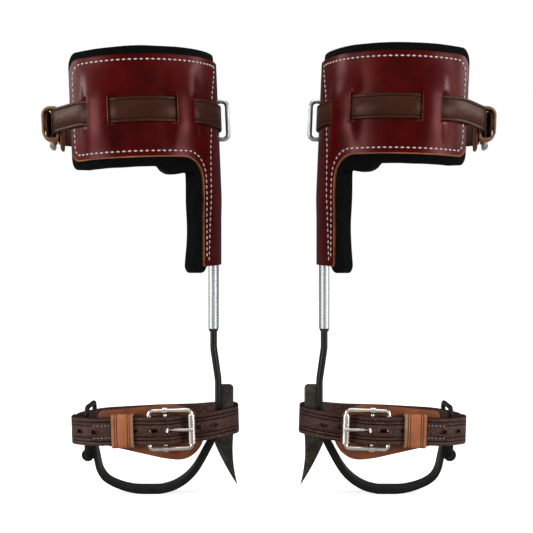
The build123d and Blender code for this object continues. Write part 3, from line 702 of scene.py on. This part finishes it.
def make_liner(side):
    """The thick felt inside the shell, cut flat with round edges and wrapped, with room for the sleeve."""
    left, right = arc(FELT_FROM), arc(SHELL_TO)
    lobe, tab = arc(LOBE_ANGLE), arc(FELT_TAB_ANGLE)
    corners = [
        (left, FELT_BOTTOM),
        (lobe, FELT_BOTTOM),
        (lobe + 4, FELT_BOTTOM - 5),
        (lobe + 12, FELT_BOTTOM - 8.3),
        (lobe + 26, FELT_BOTTOM - 8.3),
        (tab, FELT_BOTTOM - 5.5),
        (tab, FELT_TAB_BOTTOM + 2),
        (arc(142.5), FELT_TAB_BOTTOM - 3),
        (arc(149), FELT_TAB_BOTTOM + 1),
        (arc(152), TAB_BOTTOM + 6),
        (right, TAB_BOTTOM + 6),
        (right, FELT_TOP),
        (left, FELT_TOP),
    ]
    liner = flat_pattern("liner", corners, FELT_CORNERS)
    start_edit(liner)
    bpy.ops.mesh.extrude_region_move(TRANSFORM_OT_translate={"value": (0, FELT_THICKNESS, 0)})
    bpy.ops.mesh.select_all(action="SELECT")
    bpy.ops.mesh.normals_make_consistent(inside=False)
    end_edit()
    rounding = {"width": FELT_ROUNDING, "segments": 5, "limit_method": "ANGLE", "angle_limit": radians(60)}
    use_modifier(liner, "BEVEL", **rounding)
    slice_piece(liner, 0, steps(left, right, FELT_PITCH))
    slice_piece(liner, 2, steps(FELT_TAB_BOTTOM, FELT_TOP, FELT_PITCH))
    slice_piece(liner, 1, [FELT_THICKNESS / 2])
    gap = SHELL_WALL + FELT_GAP

    def wrap(co):
        sway = -FELT_SWAY * cos((co.z - FELT_TAB_BOTTOM) / 14) * ease((330 - co.z) / 40)
        angle = (co.x + sway * (1 - ease((co.x - arc(FELT_TAB_ANGLE)) / 16))) / SHELL_RADIUS
        spot = Vector((co.x / FELT_WAVE_LENGTH, co.z / FELT_WAVE_LENGTH, FELT_SEEDS[side]))
        wave = FELT_WAVE * noise.noise(spot)
        edge = ease(min(FELT_TOP - co.z, 12.0) / 12.0)
        radius = SHELL_RADIUS - gap - co.y - 0.5 * (1 - edge) + wave * ease(co.y / FELT_THICKNESS)
        for start, end in BRIDGES[side]:
            off = max(arc(start) - co.x, co.x - arc(end), 0.0)
            near = (1 - ease(off / 12)) * (1 - ease((abs(co.z - SLIT_HEIGHT) - 16) / 12))
            radius -= (SLIT_PRESS + 0.6) * near * (1 - co.y / FELT_THICKNESS)
        point = Vector((PAD_AXIS_X - radius * cos(angle), -radius * sin(angle), co.z + 0.6 * wave))
        if point.z < SLEEVE_TOP + 0.5 and point.y > -SLEEVE_HALF_DEPTH - 1.2:
            point.x = min(point.x, -SLEEVE_FACE - 0.4)
        return lean_tab(point) + Vector((0, 0, hitch(side, degrees(angle), co.z)))

    reshape(liner, wrap)
    return liner


def make_stitch(name, length, width):
    """One stitch of thread: a small bead, longer than wide, that lies along X and stands up along Z."""
    bpy.ops.object.select_all(action="DESELECT")
    bpy.ops.mesh.primitive_uv_sphere_add(segments=8, ring_count=6, radius=1.0)
    stitch = new_piece(name)
    start_edit(stitch)
    bpy.ops.transform.rotate(value=pi / 2, orient_axis="Y", center_override=(0, 0, 0))
    bpy.ops.transform.resize(value=(length / 2, width / 2, width * 0.42))
    end_edit()
    reshape(stitch, lambda co: Vector((co.x, co.y * (1 - 0.25 * abs(2 * co.x / length)), co.z)))
    return stitch


def sew(name, stitch, places):
    """A row of stitches as one piece. A place is (middle, direction, outward)."""
    row = bmesh.new()
    for middle, along, out in places:
        along = along.normalized()
        across = out.cross(along).normalized()
        out = along.cross(across)
        turn = Matrix((along, across, out)).transposed().to_4x4()
        first = len(row.verts)
        row.from_mesh(stitch.data)
        row.verts.ensure_lookup_table()
        bmesh.ops.transform(row, matrix=Matrix.Translation(middle) @ turn, verts=row.verts[first:])
    mesh = bpy.data.meshes.new(name)
    row.to_mesh(mesh)
    row.free()
    piece = bpy.data.objects.new(name, mesh)
    bpy.context.scene.collection.objects.link(piece)
    return piece


def make_pad_stitching(side, pitch):
    """The seam round the wrap and down the tab, with its second line over the sleeve."""
    left, tab = arc(SHELL_FROM) + SEAM_SIDE, arc(TAB_ANGLE) + SEAM_TAB
    low, high = SHELL_BOTTOM + SEAM_LOW, SHELL_TOP - SEAM_HIGH
    foot = TAB_BOTTOM + SEAM_FOOT
    points = [(tab + 0.8, foot), (tab, low), (left, low), (left, high)]
    points += [(arc(168), high), (arc(160.4), 412), (arc(154.5), 355), (arc(150), foot - 4)]
    seam = Line(rounded_path(points, (26, 8, 13, 3, 30, 60)))
    stitch = make_stitch("stitch", pitch * 0.66, 1.75)
    places = []
    count = int(seam.length / pitch)
    for i in range(count):
        spot, way = seam.at((i + 0.5) * seam.length / count)
        ahead, behind = spot + way, spot - way
        middle = on_shell(side, spot.x, spot.y, 0.15)
        along = on_shell(side, ahead.x, ahead.y) - on_shell(side, behind.x, behind.y)
        across = Vector((-way.y, way.x))
        above, below = spot + across, spot - across
        out = along.cross(on_shell(side, above.x, above.y) - on_shell(side, below.x, below.y))
        if out.dot(Vector((PAD_AXIS_X, 0, middle.z)) - middle) > 0:
            out = -out
        places.append((middle, along, out.normalized()))
    seam_piece = sew("stitching", stitch, places)
    bpy.data.objects.remove(stitch)
    return seam_piece


# Straps


def make_band(name, length, width, wall, creases, crease_depth, holes=(), pitch=2.5, slot=None, raw=0.4):
    """A flat leather band along X, from 0 to a length, with creases near its edges and oblong holes.

    Holes are (place, length, height). A slot is (from, to, height), cut open at the start of the band.
    The cut edge of the leather shows for a width of raw on the far side, and only on the rim of the near
    one. The upper faces along the creases take a third material: painted shade in the creases.
    """
    bpy.ops.object.select_all(action="DESELECT")
    bpy.ops.mesh.primitive_cube_add(size=1.0)
    band = new_piece(name)
    start_edit(band)
    bpy.ops.transform.translate(value=(0.5, 0, 0))
    bpy.ops.transform.resize(value=(length, width, wall), center_override=(0, 0, 0))
    end_edit()
    edit_where(band, "edges", lambda a, b: abs(a.x - b.x) > length / 2)
    bpy.ops.mesh.bevel(offset=wall * 0.3, segments=3, affect="EDGES")
    end_edit()
    for place, hole_length, hole_height in holes:
        cut_hole(band, place, hole_length, hole_height, wall)
    if slot:
        cut_hole(band, (slot[0] + slot[1]) / 2, slot[1] - slot[0], slot[2], wall)
    pressed = [side * (width / 2 - crease) for side in (-1, 1) for crease in creases]
    lines = [line + off for line in pressed for off in (-0.55, 0.0, 0.55)]
    slice_piece(band, 1, sorted(lines) + [0.0, width / 2 - raw])
    slice_piece(band, 0, steps(0, length, pitch))

    def press(co):
        if co.z > wall * 0.4 and min(abs(co.y - line) for line in pressed) < 0.05:
            return Vector((co.x, co.y, co.z - crease_depth))
        return co

    for _ in range(3):
        band.data.materials.append(None)
    # Cut-edge faces take the second material; upper faces along the creases take the third, which is painted
    # shade in the creases.
    for face in band.data.polygons:
        in_painted_crease_shade = min(abs(face.center.y - line) for line in pressed) < 0.5
        if face.center.y > width / 2 - raw or face.center.y < 0.4 - width / 2:
            face.material_index = 1
        elif face.center.z > wall * 0.4 and in_painted_crease_shade:
            face.material_index = 2
    reshape(band, press)
    return band


def cut_hole(band, place, length, height, wall):
    """Punches an oblong hole through a flat band."""
    bpy.ops.object.select_all(action="DESELECT")
    bpy.ops.mesh.primitive_cylinder_add(vertices=20, radius=height / 2, depth=4 * wall)
    punch = new_piece("punch")
    reach = (length - height) / 2
    reshape(punch, lambda co: Vector((place + co.x + (reach if co.x > 0.001 else -reach), co.y, co.z)))
    use_modifier(band, "BOOLEAN", operation="DIFFERENCE", object=punch, solver="EXACT")
    bpy.data.objects.remove(punch)


def lay_band(band, line, place, reach=1.5, thin=None):
    """Lays a flat band along a line. place takes a flat point and a height across to a point in space."""

    def lay(co):
        point, way = line.smooth_at(co.x, reach)
        normal = Vector((way.y, -way.x))
        share = thin(co.x) if thin else 1.0
        return place(point + normal * (co.z * share), co.y)

    reshape(band, lay)


def on_ankle(point, across):
    """A place on the ankle buckle's seat: along the strap, out from it and across it."""
    tilt = radians(ANKLE_TILT)
    along, over = Vector((cos(tilt), 0, sin(tilt))), Vector((-sin(tilt), 0, cos(tilt)))
    rise = ANKLE_INNER_RISE * ease((point.x - 20) / 56) + ANKLE_REAR_RISE * ease((-point.y - 50) / 35)
    return ANKLE_BAR + along * point.x + Vector((0, -1, 0)) * point.y + over * (across + rise)


def on_calf(point, across):
    """A place on the calf buckle's seat, with the pad's lean."""
    turn = radians(CALF_FLARE)
    along, out = Vector((-sin(turn), cos(turn), 0)), Vector((-cos(turn), -sin(turn), 0))
    return lean(CALF_BAR + along * point.x + out * point.y - Vector((0, 0, across)))


def calf_plan(side, point, across):
    """A place in the plan of the calf strap, which rises to the slits in front, with the pad's lean."""
    angle = degrees(atan2(-point.y, PAD_AXIS_X - point.x))
    rise = SLIT_HEIGHT - STRAP_HEIGHT + hitch(side, angle)
    height = STRAP_HEIGHT + rise * ease((-point.y - 6) / 66) - across
    return lean(Vector((point.x, point.y, height)))


def flat_on_calf(u, w):
    """A place on the calf buckle's seat as a point of the strap's plan."""
    turn = radians(CALF_FLARE)
    return (
        CALF_BAR.x - sin(turn) * u - cos(turn) * w,
        CALF_BAR.y + cos(turn) * u - sin(turn) * w,
    )


def fold_points():
    """The strap's end, turned round the buckle's centre bar."""
    turns = [radians(170 - 22 * i) for i in range(13)]
    return [(FOLD_MIDDLE * cos(t), FOLD_MIDDLE * sin(t)) for t in turns]


def skived(length):
    """The strap's thickness as a share, thin where it is folded round the bar."""
    return 0.57 + 0.43 * ease((length - 10) / 10)


def nearest_length(line, place):
    """The length along a line at which it passes nearest to a place."""
    target = Vector(place)
    return min(line.lengths, key=lambda length: (line.at(length)[0] - target).length)


def ankle_line():
    """The way of the ankle strap: from the bar round the outer arm, the back and the gaff to the buckle."""
    middle, depth, outer, inner = -46.0, 92.0, -95.7, 71.5
    loop = [
        (-72.0, LAYER_W),
        (outer, middle + 22),
        (outer, middle - 12),
        (-72.0, middle - 36),
        (-15.0, -depth),
        (35.0, 4 - depth),
        (inner, middle - 20),
        (inner, middle + 16),
        (54.0, BEHIND_ROLLER_W),
        (ROLLER_CLEAR_U, BEHIND_ROLLER_W),
        (FOLD_OUTER, OVER_BAR_W),
        (HEEL_U, OVER_HEEL_W),
        (HEEL_U - 12, TAIL_W),
        (-73.7, TAIL_W),
        (outer - 3.1, middle + 24),
        (outer - 3.1, middle - 6),
    ]
    radii = (24, 24, 24, 40, 60, 40, 26, 18, 24, 6, 6, 8, 8, 24, 24)
    fold = fold_points()
    start = [fold[-1], (-9.0, LAYER_W)] + loop
    return Line(rounded_path(fold + start[1:], (0,) * (len(fold) - 1) + (5,) + radii))


def make_ankle_strap(crease_depth):
    line = ankle_line()
    tongue = nearest_length(line, TONGUE_HOLE)
    count = int((line.length - tongue) / HOLE_PITCH)
    places = [tongue + FIRST_TAIL_HOLE] + [tongue + i * HOLE_PITCH for i in range(2, count + 1)]
    places += [tongue - back for back in NEAR_HOLES]
    holes = [(tongue, *TONGUE_SLOT)] + [(place, *ANKLE_HOLE) for place in places]
    holes = [hole for hole in holes if hole[0] < line.length - 8]
    strap = make_band(
        "ankle_strap", line.length, STRAP_WIDTH, STRAP_WALL, ANKLE_CREASES, crease_depth, holes,
        slot=FOLD_SLOT,
    )
    round_strap_end(strap, line.length, STRAP_WIDTH)
    lay_band(strap, line, on_ankle, thin=skived)
    mend_normals(strap)
    return strap


def make_ankle_stitching(pitch):
    """Two short rows of stitches along the inner creases of the ankle strap, beyond its keeper."""
    line = ankle_line()
    tail = HEEL_U - 12
    start = nearest_length(line, (tail, TAIL_W)) + tail - ANKLE_SEAM_U
    stitch = make_stitch("stitch", pitch * 0.7, 0.9)
    places = []
    for across in (-1, 1):
        row = across * (STRAP_WIDTH / 2 - ANKLE_CREASES[1])
        for i in range(ANKLE_SEAM_STITCHES):
            spot, way = line.smooth_at(start + (i + 0.5) * pitch, 1.5)
            out = Vector((way.y, -way.x))
            face = spot + out * (STRAP_WALL / 2 - 0.1)
            along = on_ankle(face + way, row) - on_ankle(face - way, row)
            places.append((on_ankle(face, row), along, on_ankle(face + out, row) - on_ankle(face, row)))
    seam = sew("ankle_stitching", stitch, places)
    bpy.data.objects.remove(stitch)
    return seam


def calf_line(side):
    """The way of the calf strap: from the bar under the pad's bridges and through the ring to the buckle."""
    start = [flat_on_calf(u, w) for u, w in fold_points() + [(-9.0, LAYER_W), (-55.0, LAYER_W)]]
    leave = radians(CALF_LEAVE)
    start.append((PAD_AXIS_X - CALF_RADIUS * cos(leave), -CALF_RADIUS * sin(leave)))
    bends = (0,) * (len(start) - 4) + (5, 18)
    line = rounded_path(start, bends)
    count = 237
    for i in range(1, count + 1):
        angle = CALF_LEAVE + (180 - CALF_LEAVE + CALF_RING_ANGLE) * i / count
        dip = 0.0
        for low, high in BRIDGES[side]:
            off = max(low - angle, angle - high, 0.0)
            dip = max(dip, SLIT_PRESS * (1 - ease(off / 6)))
        radius = CALF_RADIUS - dip
        line.append(Vector((PAD_AXIS_X - radius * cos(radians(angle)), -radius * sin(radians(angle)))))
    turn, flare = radians(CALF_RING_ANGLE), radians(CALF_FLARE)
    leave_ring = line[-1]
    run = CALF_REAR - leave_ring.y
    rear_u = (CALF_REAR - CALF_BAR.y + BEHIND_ROLLER_W * sin(flare)) / cos(flare)
    crossing = [
        (rear_u, BEHIND_ROLLER_W),
        (ROLLER_CLEAR_U, BEHIND_ROLLER_W),
        (FOLD_OUTER, OVER_BAR_W),
        (HEEL_U, OVER_HEEL_W),
        CALF_TAIL_DIP,
        CALF_TAIL_END,
    ]
    rear = [tuple(leave_ring), (leave_ring.x - sin(turn) / cos(turn) * run, CALF_REAR)]
    rear += [flat_on_calf(u, w) for u, w in crossing]
    return Line(line + rounded_path(rear, (75, 30, 6, 6, 8, 8)))


def make_calf_strap(side, crease_depth):
    line = calf_line(side)
    tongue = nearest_length(line, flat_on_calf(*TONGUE_HOLE))
    holes = [(tongue, *TONGUE_SLOT)] + [(tongue - i * HOLE_PITCH, *CALF_HOLE) for i in (1, 2)]
    strap = make_band(
        "calf_strap", line.length, CALF_WIDTH, STRAP_WALL, CALF_CREASES, crease_depth, holes,
        slot=FOLD_SLOT,
    )
    round_strap_end(strap, line.length, CALF_WIDTH)
    lay_band(strap, line, lambda point, across: calf_plan(side, point, across), thin=skived)
    mend_normals(strap)
    return strap


def round_strap_end(strap, length, width):
    """Rounds the free end of a flat strap."""
    half = width / 2

    def taper(co):
        if co.x < length - half:
            return co
        share = (co.x - length + half) / half
        return Vector((co.x - (half - sqrt(max(half**2 - co.y**2, 0.0))) * 0.7 * share, co.y, co.z))

    reshape(strap, taper)


def mend_normals(piece):
    start_edit(piece)
    bpy.ops.mesh.normals_make_consistent(inside=False)
    end_edit()


def make_keeper(name, place, middle_u, low_w, high_w, wall, bend):
    """A leather loop round the strap's layers, creased along both of its raw edges, with painted shade in
    the creases.
    """
    half = STRAP_WIDTH / 2 + KEEPER_SIDE_GAP + wall / 2
    low, high = low_w - KEEPER_GAP - wall / 2, high_w + KEEPER_GAP + wall / 2
    corners = [(low, 0.0), (low, -half), (high, -half), (high, half), (low, half), (low, 0.0)]
    bends = (KEEPER_INNER_BEND, bend, bend, KEEPER_INNER_BEND)
    line = Line(rounded_path(corners, bends, 0.4))
    band = make_band(name, line.length, KEEPER_WIDTH, wall, KEEPER_CREASES, 0.5, pitch=1.2, raw=1.7)

    def round_strap(point, across):
        return place(Vector((middle_u + across, point.x)), point.y)

    lay_band(band, line, round_strap, 0.6)
    mend_normals(band)
    return band


def make_shield(name, corners, place, curl):
    """A leather plate behind a buckle, with eased edges, which curls away from it at its ends."""
    shield = flat_pattern(name, list(corners), corners.values())
    start_edit(shield)
    bpy.ops.mesh.extrude_region_move(TRANSFORM_OT_translate={"value": (0, SHIELD_WALL, 0)})
    bpy.ops.mesh.select_all(action="SELECT")
    bpy.ops.mesh.normals_make_consistent(inside=False)
    end_edit()
    use_modifier(shield, "BEVEL", width=0.6, segments=2, limit_method="ANGLE", angle_limit=radians(60))
    reach = [corner[0] for corner in corners]
    middle, half = (min(reach) + max(reach)) / 2, (max(reach) - min(reach)) / 2
    slice_piece(shield, 0, steps(min(reach), max(reach), 5.0))
    slice_piece(shield, 2, [-10.0, 0.0, 10.0])

    def curled(co):
        away = curl * ((co.x - middle) / half) ** 2 + 0.3 * noise.noise(Vector((co.x / 20, co.z / 20, 5.0)))
        return place(Vector((co.x, SHIELD_W - 0.3 - co.y - away)), co.z)

    reshape(shield, curled)
    mend_normals(shield)
    return shield


# Stage


def backdrop_finish():
    """White paper: it takes shadows, and the camera sees it lit from within to white."""
    paper = bpy.data.materials.new("white_paper")
    paper.use_nodes = True
    nodes, links = paper.node_tree.nodes, paper.node_tree.links
    shader = nodes["Principled BSDF"]
    shader.inputs["Roughness"].default_value = 1.0
    shader.inputs["Specular IOR Level"].default_value = 0.0
    shader.inputs["Emission Color"].default_value = (1.0, 1.0, 1.0, 1.0)
    rays = nodes.new("ShaderNodeLightPath")
    place = nodes.new("ShaderNodeTexCoord").outputs["Object"]
    distance = nodes.new("ShaderNodeVectorMath")
    distance.operation = "LENGTH"
    links.new(place, distance.inputs[0])
    spread = add_node(
        paper, "ShaderNodeMapRange", [("Value", distance.outputs["Value"])],
        From_Min=0.35, From_Max=1.1, To_Min=PAPER_GLOW, To_Max=1.0,
    )
    tone = add_node(
        paper, "ShaderNodeMapRange", [("Value", rays.outputs["Is Camera Ray"])],
        To_Min=PAPER_BOUNCE, To_Max=0.9,
    )
    links.new(tone.outputs["Result"], shader.inputs["Base Color"])
    glow = nodes.new("ShaderNodeMath")
    glow.operation = "MULTIPLY"
    links.new(rays.outputs["Is Camera Ray"], glow.inputs[0])
    links.new(spread.outputs["Result"], glow.inputs[1])
    links.new(glow.outputs["Value"], shader.inputs["Emission Strength"])
    return paper


def make_floor(size):
    """A pale floor under the pair."""
    bpy.ops.object.select_all(action="DESELECT")
    bpy.ops.mesh.primitive_plane_add(size=size, location=(0, 0, 0))
    floor = new_piece("floor")
    floor.data.materials.append(backdrop_finish())


def make_lights(power, strength):
    """Soft lights at the sides, above and behind the rims, in a room that mirrors see brighter in front."""
    for name, place, size, share in (
        ("left_light", (-1.5, -0.9, 0.34), (0.8, 0.66), 0.85),
        ("right_light", (1.5, -0.9, 0.34), (0.8, 0.66), 0.85),
        ("top_light", (0.0, -0.2, 1.7), (1.6, 1.2), 0.6),
        ("left_rim", (-1.4, 0.22, 0.8), (0.3, 0.6), 0.26),
        ("right_rim", (1.4, 0.22, 0.8), (0.3, 0.6), 0.26),
    ):
        lamp = bpy.data.lights.new(name, "AREA")
        lamp.shape = "RECTANGLE"
        lamp.size, lamp.size_y = size
        lamp.energy = power * share
        light = bpy.data.objects.new(name, lamp)
        bpy.context.scene.collection.objects.link(light)
        light.location = place
        aim = LIGHT_AIM - Vector(place)
        light.rotation_euler = aim.to_track_quat("-Z", "Y").to_euler()
    world = bpy.data.worlds.new("room")
    bpy.context.scene.world = world
    world.use_nodes = True
    nodes, links = world.node_tree.nodes, world.node_tree.links
    rays = nodes.new("ShaderNodeLightPath")
    seen = nodes.new("ShaderNodeMath")
    seen.operation = "MAXIMUM"
    links.new(rays.outputs["Is Camera Ray"], seen.inputs[0])
    links.new(rays.outputs["Is Transmission Ray"], seen.inputs[1])
    way = nodes.new("ShaderNodeSeparateXYZ")
    links.new(nodes.new("ShaderNodeTexCoord").outputs["Generated"], way.inputs["Vector"])
    mirrored = add_node(
        world, "ShaderNodeMapRange", [("Value", way.outputs["Y"])],
        From_Min=0.6, From_Max=-0.8, To_Min=strength, To_Max=MIRRORED_ROOM,
    )
    glossy = add_node(
        world, "ShaderNodeMapRange", [("Value", rays.outputs["Is Glossy Ray"])], To_Min=strength
    )
    links.new(mirrored.outputs["Result"], glossy.inputs["To Max"])
    brightness = add_node(world, "ShaderNodeMapRange", [("Value", seen.outputs["Value"])], To_Max=1.0)
    links.new(glossy.outputs["Result"], brightness.inputs["To Min"])
    background = nodes["Background"]
    background.inputs["Color"].default_value = (1.0, 1.0, 1.0, 1.0)
    links.new(brightness.outputs["Result"], background.inputs["Strength"])


def make_camera(distance):
    """A level camera in front of the pair, at the photograph's scale on the plane of the shanks."""
    data = bpy.data.cameras.new("camera")
    data.sensor_width = SENSOR
    data.lens = SENSOR * distance / (SCALE * PIXELS)
    data.shift_x = CAMERA_SHIFT / PIXELS
    camera = bpy.data.objects.new("camera", data)
    bpy.context.scene.collection.objects.link(camera)
    camera.location = (0.0, -distance - DEPTH_MIDDLE * MM, CAMERA_HEIGHT)
    camera.rotation_euler = (pi / 2, 0.0, 0.0)
    bpy.context.scene.camera = camera


# Settings


def colour_of(name, description, default):
    """A colour setting."""
    return bpy.props.FloatVectorProperty(
        name=name, description=description, subtype="COLOR", default=default, min=0.0, max=1.0
    )


class ClimberLooks(bpy.types.PropertyGroup):
    """Colours and small sizes that a user would change."""

    shell_colour: colour_of("Shell colour", "Light tone of the oxblood leather", (0.082, 0.0014, 0.0015))
    calf_colour: colour_of("Calf strap colour", "Light tone of the calf straps", (0.058, 0.0182, 0.0088))
    strap_colour: colour_of("Ankle strap colour", "Light tone of the ankle straps", (0.046, 0.0145, 0.0085))
    tan_colour: colour_of("Keeper colour", "Light tone of the tan leather", (0.6, 0.215, 0.092))
    nickel_colour: colour_of("Nickel colour", "Light tone of the plated buckles", (0.94, 0.9, 0.83))
    stitch_pitch: bpy.props.FloatProperty(
        name="Stitch pitch",
        description="Distance between the pad's stitches, in millimetres",
        default=5.7,
        min=2.0,
        max=12.0,
    )
    crease_depth: bpy.props.FloatProperty(
        name="Crease depth",
        description="Depth of the creases along the straps, in millimetres",
        default=0.45,
        min=0.0,
        max=1.0,
    )


class ClimberStage(bpy.types.PropertyGroup):
    """Floor, light and camera."""

    floor_size: bpy.props.FloatProperty(
        name="Floor size", description="Width of the floor", subtype="DISTANCE", unit="LENGTH", default=14.0
    )
    key_power: bpy.props.FloatProperty(
        name="Key light",
        description="Power that each light takes a share of",
        subtype="POWER",
        unit="POWER",
        default=22.0,
    )
    world_strength: bpy.props.FloatProperty(
        name="Room light", description="Strength of the light from all round", default=0.1, min=0.0
    )
    camera_distance: bpy.props.FloatProperty(
        name="Camera distance",
        description="From the shanks to the camera",
        subtype="DISTANCE",
        unit="LENGTH",
        default=1.2,
    )


# Operators


class CLIMBERS_OT_finishes(bpy.types.Operator):
    """Make the finishes and paint the metal pieces"""

    bl_idname = "climbers.finishes"
    bl_label = "Finishes"

    def execute(self, context):
        FINISHES.update(make_finishes(context.scene.climber_looks))
        painted = {
            "leg_iron": "paint",
            "strap_link": "paint",
            "gaff": "forged",
            "gaff_screws": "oxide",
            "height_screws": "oxide",
            "sleeve": "bright",
            "sleeve_bush": "nylon",
            "calf_ring": "zinc",
        }
        for strap in ("ankle", "calf"):
            for piece in ("frame", "bar", "tongue", "roller"):
                painted[f"{strap}_buckle_{piece}"] = "nickel"
        for side in SIDES:
            for node, finish in painted.items():
                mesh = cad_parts[f"{side}_{node}"].data
                mesh.materials.clear()
                mesh.materials.append(FINISHES[finish])
        return {"FINISHED"}


class CLIMBERS_OT_pads(bpy.types.Operator):
    """Model the calf pads: leather shells, felt liners and stitching"""

    bl_idname = "climbers.pads"
    bl_label = "Calf pads"

    def execute(self, context):
        pitch = context.scene.climber_looks.stitch_pitch
        for side in SIDES:
            shell = make_shell(side)
            leathers = [FINISHES["shell"], FINISHES["raw_edge"]]
            finish_piece(shell, "pad_shell", side, "pad", leathers, ["pad_leather"])
            liner = make_liner(side)
            finish_piece(liner, "pad_felt", side, "pad", [FINISHES["felt"]], ["pad_liner"], 60)
            seam = make_pad_stitching(side, pitch)
            finish_piece(seam, "pad_stitching", side, "pad", [FINISHES["thread"]], [], 80)
        return {"FINISHED"}


class CLIMBERS_OT_straps(bpy.types.Operator):
    """Model the ankle and calf straps"""

    bl_idname = "climbers.straps"
    bl_label = "Straps"

    def execute(self, context):
        depth = context.scene.climber_looks.crease_depth
        # Second finish: the straps' dark cut edges; third: painted shade in the creases.
        ankle_leathers = [FINISHES[name] for name in ("ankle_strap", "strap_edge_and_crease_shade", "strap_edge_and_crease_shade")]
        calf_leathers = [FINISHES[name] for name in ("strap", "strap_edge_and_crease_shade", "calf_crease_shade")]
        ankle = make_ankle_strap(depth)
        for side, strap in zip(SIDES, (ankle, copy_piece(ankle))):
            finish_piece(
                strap, "ankle_belt", side, "iron", ankle_leathers, ["ankle_strap"], 50
            )
        seam = make_ankle_stitching(ANKLE_STITCH_PITCH)
        for side, row in zip(SIDES, (seam, copy_piece(seam))):
            finish_piece(
                row, "ankle_stitching", side, "iron", [FINISHES["old_thread"]], [], 80
            )
        for side in SIDES:
            strap = make_calf_strap(side, depth)
            finish_piece(strap, "calf_belt", side, "pad", calf_leathers, ["calf_strap"], 50)
        return {"FINISHED"}


class CLIMBERS_OT_loops(bpy.types.Operator):
    """Model the keepers and the shields behind the buckles"""

    bl_idname = "climbers.loops"
    bl_label = "Keepers and shields"

    def execute(self, context):
        half = STRAP_WALL / 2
        # The keepers' third finish is painted shade in their creases.
        made = [
            ("ankle_loop", "ankle_loop", "ankle_keeper", ("tan", "cut_tan", "tan_crease_shade"),
             make_keeper(
                 "ankle_loop", on_ankle, ANKLE_KEEPER_U, LAYER_W - half, TAIL_W + half,
                 wall=2.2, bend=3.2)),
            ("calf_loop", "calf_loop", "calf_keeper", ("tan", "cut_tan", "tan_crease_shade"),
             make_keeper(
                 "calf_loop", on_calf, CALF_KEEPER_U, LAYER_W - half, OVER_HEEL_W + half,
                 wall=2.6, bend=8.0)),
            ("ankle_guard", "iron", "ankle_shield", ("flesh",),
             make_shield("ankle_guard", ANKLE_SHIELD, on_ankle, curl=2.0)),
            ("calf_guard", "pad", "calf_shield", ("flesh",),
             make_shield("calf_guard", CALF_SHIELD, on_calf, curl=1.5)),
        ]
        for name, body, node, looks, piece in made:
            leathers = [FINISHES[look] for look in looks]
            for side, twin in zip(SIDES, (piece, copy_piece(piece))):
                finish_piece(twin, name, side, body, leathers, [node], 50)
        return {"FINISHED"}


class CLIMBERS_OT_stage(bpy.types.Operator):
    """Set the floor, the lights and the camera"""

    bl_idname = "climbers.stage"
    bl_label = "Stage"

    def execute(self, context):
        stage = context.scene.climber_stage
        make_floor(stage.floor_size)
        make_lights(stage.key_power, stage.world_strength)
        make_camera(stage.camera_distance)
        context.scene.view_settings.view_transform = "Standard"
        return {"FINISHED"}


class CLIMBERS_PT_panel(bpy.types.Panel):
    """Lists the operators and their settings."""

    bl_idname = "CLIMBERS_PT_panel"
    bl_label = "Tree climbing spikes"
    bl_space_type = "VIEW_3D"
    bl_region_type = "UI"
    bl_category = "Climbers"

    def draw(self, context):
        layout = self.layout
        looks, stage = context.scene.climber_looks, context.scene.climber_stage
        for name in looks.__annotations__:
            layout.prop(looks, name)
        for operator in MAKERS:
            layout.operator(operator.bl_idname)
        for name in stage.__annotations__:
            layout.prop(stage, name)
        layout.operator(CLIMBERS_OT_stage.bl_idname)


MAKERS = (CLIMBERS_OT_finishes, CLIMBERS_OT_pads, CLIMBERS_OT_straps, CLIMBERS_OT_loops)
CLASSES = (ClimberLooks, ClimberStage, *MAKERS, CLIMBERS_OT_stage, CLIMBERS_PT_panel)


def register():
    for cls in CLASSES:
        bpy.utils.register_class(cls)
    bpy.types.Scene.climber_looks = bpy.props.PointerProperty(type=ClimberLooks)
    bpy.types.Scene.climber_stage = bpy.props.PointerProperty(type=ClimberStage)


def unregister():
    del bpy.types.Scene.climber_stage
    del bpy.types.Scene.climber_looks
    for cls in reversed(CLASSES):
        bpy.utils.unregister_class(cls)


def main():
    register()
    bpy.ops.climbers.finishes()
    bpy.ops.climbers.pads()
    bpy.ops.climbers.straps()
    bpy.ops.climbers.loops()
    bpy.ops.climbers.stage()


if __name__ == "__main__":
    main()
